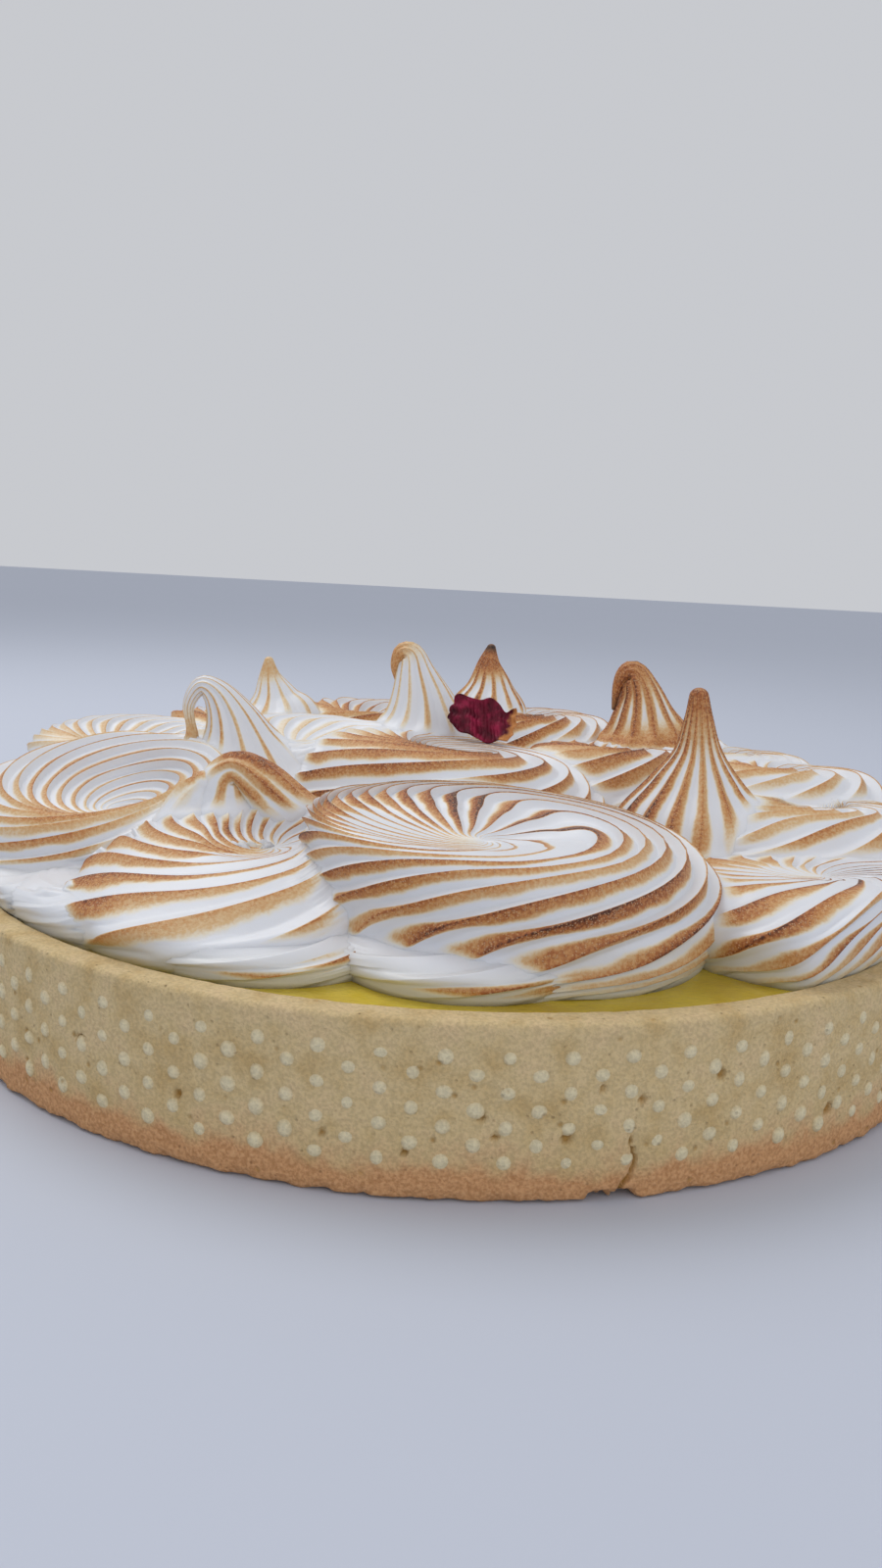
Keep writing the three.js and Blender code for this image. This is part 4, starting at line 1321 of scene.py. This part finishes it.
    def unit_dome(self) -> Mesh:
        """A closed dome of radius 1 and height 1 on the plane z = 0, with a low cone below it."""
        bm = bmesh.new()
        line = [bm.verts.new((r, 0.0, z)) for r, z in self.dome_profile]
        edges = [bm.edges.new(pair) for pair in zip(line, line[1:])]
        bmesh.ops.spin(
            bm, geom=line + edges, cent=(0, 0, 0), axis=(0, 0, 1), angle=math.tau,
            steps=self.dot_segments, use_merge=True, use_duplicate=False,
        )
        bmesh.ops.remove_doubles(bm, verts=bm.verts, dist=1e-4)
        bmesh.ops.recalc_face_normals(bm, faces=bm.faces)
        return finished(bm, "dome", smooth=False)

    def build_dots(self, material: Material) -> None:
        """Makes the raised dots as one mesh of low domes that run out into the wall."""
        rng = np.random.default_rng(DOT_SEED)
        dome = self.unit_dome()
        bm = bmesh.new()
        layer = bm.verts.layers.float.new("dot")
        for turn, level in self.dot_places():
            wide = self.dot_radius * rng.uniform(*DOT_WIDTHS)
            tall = self.dot_radius * rng.uniform(*DOT_HEIGHTS)
            rise = self.dot_height * rng.uniform(*DOT_RISES)
            start = len(bm.verts)
            bm.from_mesh(dome)
            bm.verts.ensure_lookup_table()
            for vert in bm.verts[start:]:
                reach = min(vert.co.xy.length, 1.0)
                vert[layer] = 1 - reach**3
                angle = turn + vert.co.x * wide / CRUST_RADIUS
                out = CRUST_RADIUS - self.dot_root + vert.co.z * (rise + self.dot_root)
                place = Vector((out * math.sin(angle), -out * math.cos(angle), level + vert.co.y * tall))
                vert.co = place * MM
        bpy.data.meshes.remove(dome)
        link_piece(finished(bm, "dots"), "shell_dots", material)


@dataclass
class Curd:
    """The filling, whose top is a little uneven and climbs at the shell."""

    columns: int = 240

    def build(self, material: Material) -> None:
        """Makes the filling.

        Args:
            material: The curd's material.
        """
        inner = CRUST_RADIUS - CRUST_WALL - 0.1
        floor = CRUST_FLOOR + 0.3
        top = [(x, CURD_TOP) for x in (*np.linspace(inner - 0.4, 78, 34), 60.0, 30.0, 0.0)]
        profile = np.array([(0.0, floor), (inner, floor), (inner, CURD_TOP - 1.0), (inner, CURD_TOP)] + top)
        turn = np.arange(self.columns) / self.columns * math.tau
        radius, height = lathe_grid(profile, turn)
        points = np.stack([radius * np.cos(turn), radius * np.sin(turn), height], axis=-1)
        ripple = noise_at(points, 9.0, 5.0)
        on_top = smoothstep(CURD_TOP - 0.9, CURD_TOP, height)
        climb = 0.35 * smoothstep(inner - 2.0, inner, radius)
        points[..., 2] += on_top * (0.16 * ripple + climb - 0.1)
        blank = Turned(len(profile), self.columns).make("curd_fill", False)
        blank.place(points)
        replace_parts(link_piece(blank.mesh, "curd_fill", material), "lemon_curd")


@dataclass
class Petal:
    """A thin curled rose petal that lies against the middle rosette."""

    centre: Triple = (7.5, 20.0, 66.3)
    corners: tuple[Pair, ...] = ((-9.2, -2.4), (6.8, -7.0), (-7.4, 6.4), (8.6, 2.2))
    thickness: float = 0.6
    tilt: float = 38.0
    columns: int = 64
    rows: int = 48

    def build(self, material: Material) -> None:
        """Makes the petal.

        Args:
            material: The petal's material.
        """
        bm = bmesh.new()
        bmesh.ops.create_grid(bm, x_segments=self.columns, y_segments=self.rows, size=1.0)
        layer = bm.verts.layers.float.new("end")
        for vert in bm.verts:
            s, across = vert.co.y, vert.co.x
            low, high = (
                Vector(a).lerp(Vector(b), 0.5 + 0.5 * across)
                for a, b in zip(self.corners[::2], self.corners[1::2])
            )
            low.y -= 1.7 * (1 - across * across)
            high.y += 1.5 * (1 - across * across) - 2.2 * math.exp(-(((across - 0.66) / 0.16) ** 2))
            flat = low.lerp(high, 0.5 + 0.5 * s)
            flat.x += (0.9 * (1 - s * s) + 0.3 * math.sin(9 * s)) * across
            crease = 1.5 * abs(across + 0.15 + 0.3 * s) - 0.8 * math.cos(6.5 * across + 2.0 * s)
            curl = 1.8 * max(s - 0.45, 0) ** 2 + 1.2 * max(-s - 0.5, 0) ** 2
            frill = 0.35 * abs(across) ** 4 * math.sin(11 * s + 2 * across)
            frill = frill + 0.3 * s**4 * math.sin(12 * across)
            vert[layer] = 1.9 * max(across - 0.45, 0.0) + 0.35 * max(-s - 0.2, 0.0)
            vert.co = (flat.x, flat.y, crease + curl + frill)
        bmesh.ops.solidify(bm, geom=bm.faces[:], thickness=self.thickness)
        turned = Matrix.Rotation(math.radians(90 - self.tilt), 3, "X")
        bmesh.ops.transform(bm, matrix=turned.to_4x4(), verts=bm.verts)
        bmesh.ops.translate(bm, vec=self.centre, verts=bm.verts)
        bmesh.ops.scale(bm, vec=(MM, MM, MM), verts=bm.verts)
        bmesh.ops.recalc_face_normals(bm, faces=bm.faces)
        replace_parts(link_piece(finished(bm, "petal"), "petal", material), "rose_petal")


# ---------------------------------------------------------------- studio


@dataclass
class Studio:
    """Floor, lights and camera."""

    camera_at: Triple = (0.0, -317.36, 106.09)
    yaw: float = -0.505
    pitch: float = 9.774
    roll: float = 3.022
    lens: float = 28.8
    sensor: float = 36.0

    def build(self, effects: SharedEffects) -> None:
        """Sets up the studio.

        Args:
            effects: The shared node groups.
        """
        self.floor(effects)
        self.lights()
        self.camera()
        view = bpy.context.scene.view_settings
        view.view_transform = "Standard"
        view.look = "None"
        view.exposure = 0.0

    def floor(self, effects: SharedEffects) -> None:
        """A wide pale floor under the tart."""
        bm = bmesh.new()
        bmesh.ops.create_grid(bm, x_segments=8, y_segments=8, size=FLOOR_HALF)
        mesh = finished(bm, "floor", smooth=False)
        mesh.materials.append(PlainFinish("floor_paint", effects, roughness=0.7).make())
        link_new("floor", mesh)

    def lights(self) -> None:
        """Two soft lights and a pale surround."""
        world = bpy.data.worlds.new("surround")
        bpy.context.scene.world = world
        world.use_nodes = True
        back = world.node_tree.nodes["Background"]
        back.inputs["Color"].default_value = SURROUND
        back.inputs["Strength"].default_value = SURROUND_STRENGTH
        for name, place, size, power, colour in (
            ("key", (-0.45, 0.35, 1.0), 0.9, 5.0, (1.0, 0.985, 0.96)),
            ("fill", (0.5, -1.0, 0.6), 1.2, 2.4, (1.0, 0.98, 0.96)),
        ):
            light = bpy.data.lights.new(name, "AREA")
            light.shape = "DISK"
            light.size = size
            light.energy = power
            light.color = colour
            lamp = link_new(name, light)
            lamp.location = place
            lamp.rotation_mode = "QUATERNION"
            lamp.rotation_quaternion = (Vector(LIGHT_AIM) - Vector(place)).to_track_quat("-Z", "Y")

    def camera(self) -> None:
        """The camera, at the angle that shows the regular side of the tart."""
        yaw, pitch, roll = (math.radians(a) for a in (self.yaw, self.pitch, self.roll))
        forward = Vector((math.sin(yaw) * math.cos(pitch), math.cos(yaw) * math.cos(pitch), -math.sin(pitch)))
        right = Vector((math.cos(yaw), -math.sin(yaw), 0.0))
        up = right.cross(forward)
        right_rolled = math.cos(roll) * right + math.sin(roll) * up
        up_rolled = -math.sin(roll) * right + math.cos(roll) * up
        data = bpy.data.cameras.new("camera")
        data.lens = self.lens
        data.sensor_width = self.sensor
        data.clip_start = 0.01
        camera = link_new("camera", data)
        turn = Matrix((right_rolled, up_rolled, -forward)).transposed().to_4x4()
        camera.matrix_world = Matrix.Translation(Vector(self.camera_at) * MM) @ turn
        bpy.context.scene.camera = camera


def main() -> None:
    """Builds the tart and its studio."""
    logging.basicConfig(level=logging.INFO, format="%(message)s")
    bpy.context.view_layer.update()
    effects = SharedEffects.make()
    meringue = MeringueFinish(
        "meringue", effects, roughness=0.36, subsurface=0.25, subsurface_radius=(1.0, 0.9, 0.8),
        subsurface_scale=0.0015,
    ).make()
    crust = CrustFinish("shortcrust", effects, roughness=0.85, specular=0.3, subsurface=0.1).make()
    curd = CurdFinish("lemon_curd", effects, roughness=0.16, subsurface=0.3, subsurface_scale=0.004).make()
    petal = PetalFinish(
        "petal", effects, roughness=0.6, specular=0.2, subsurface=0.05, subsurface_scale=0.0006,
    ).make()
    swirls = [*ROSETTES, *KISSES]
    for swirl in swirls:
        swirl.make_skin()
    for swirl in swirls:
        swirl.build(swirls, meringue)
    Crust().build(crust)
    Curd().build(curd)
    Petal().build(petal)
    Studio().build(effects)


if __name__ == "__main__":
    main()
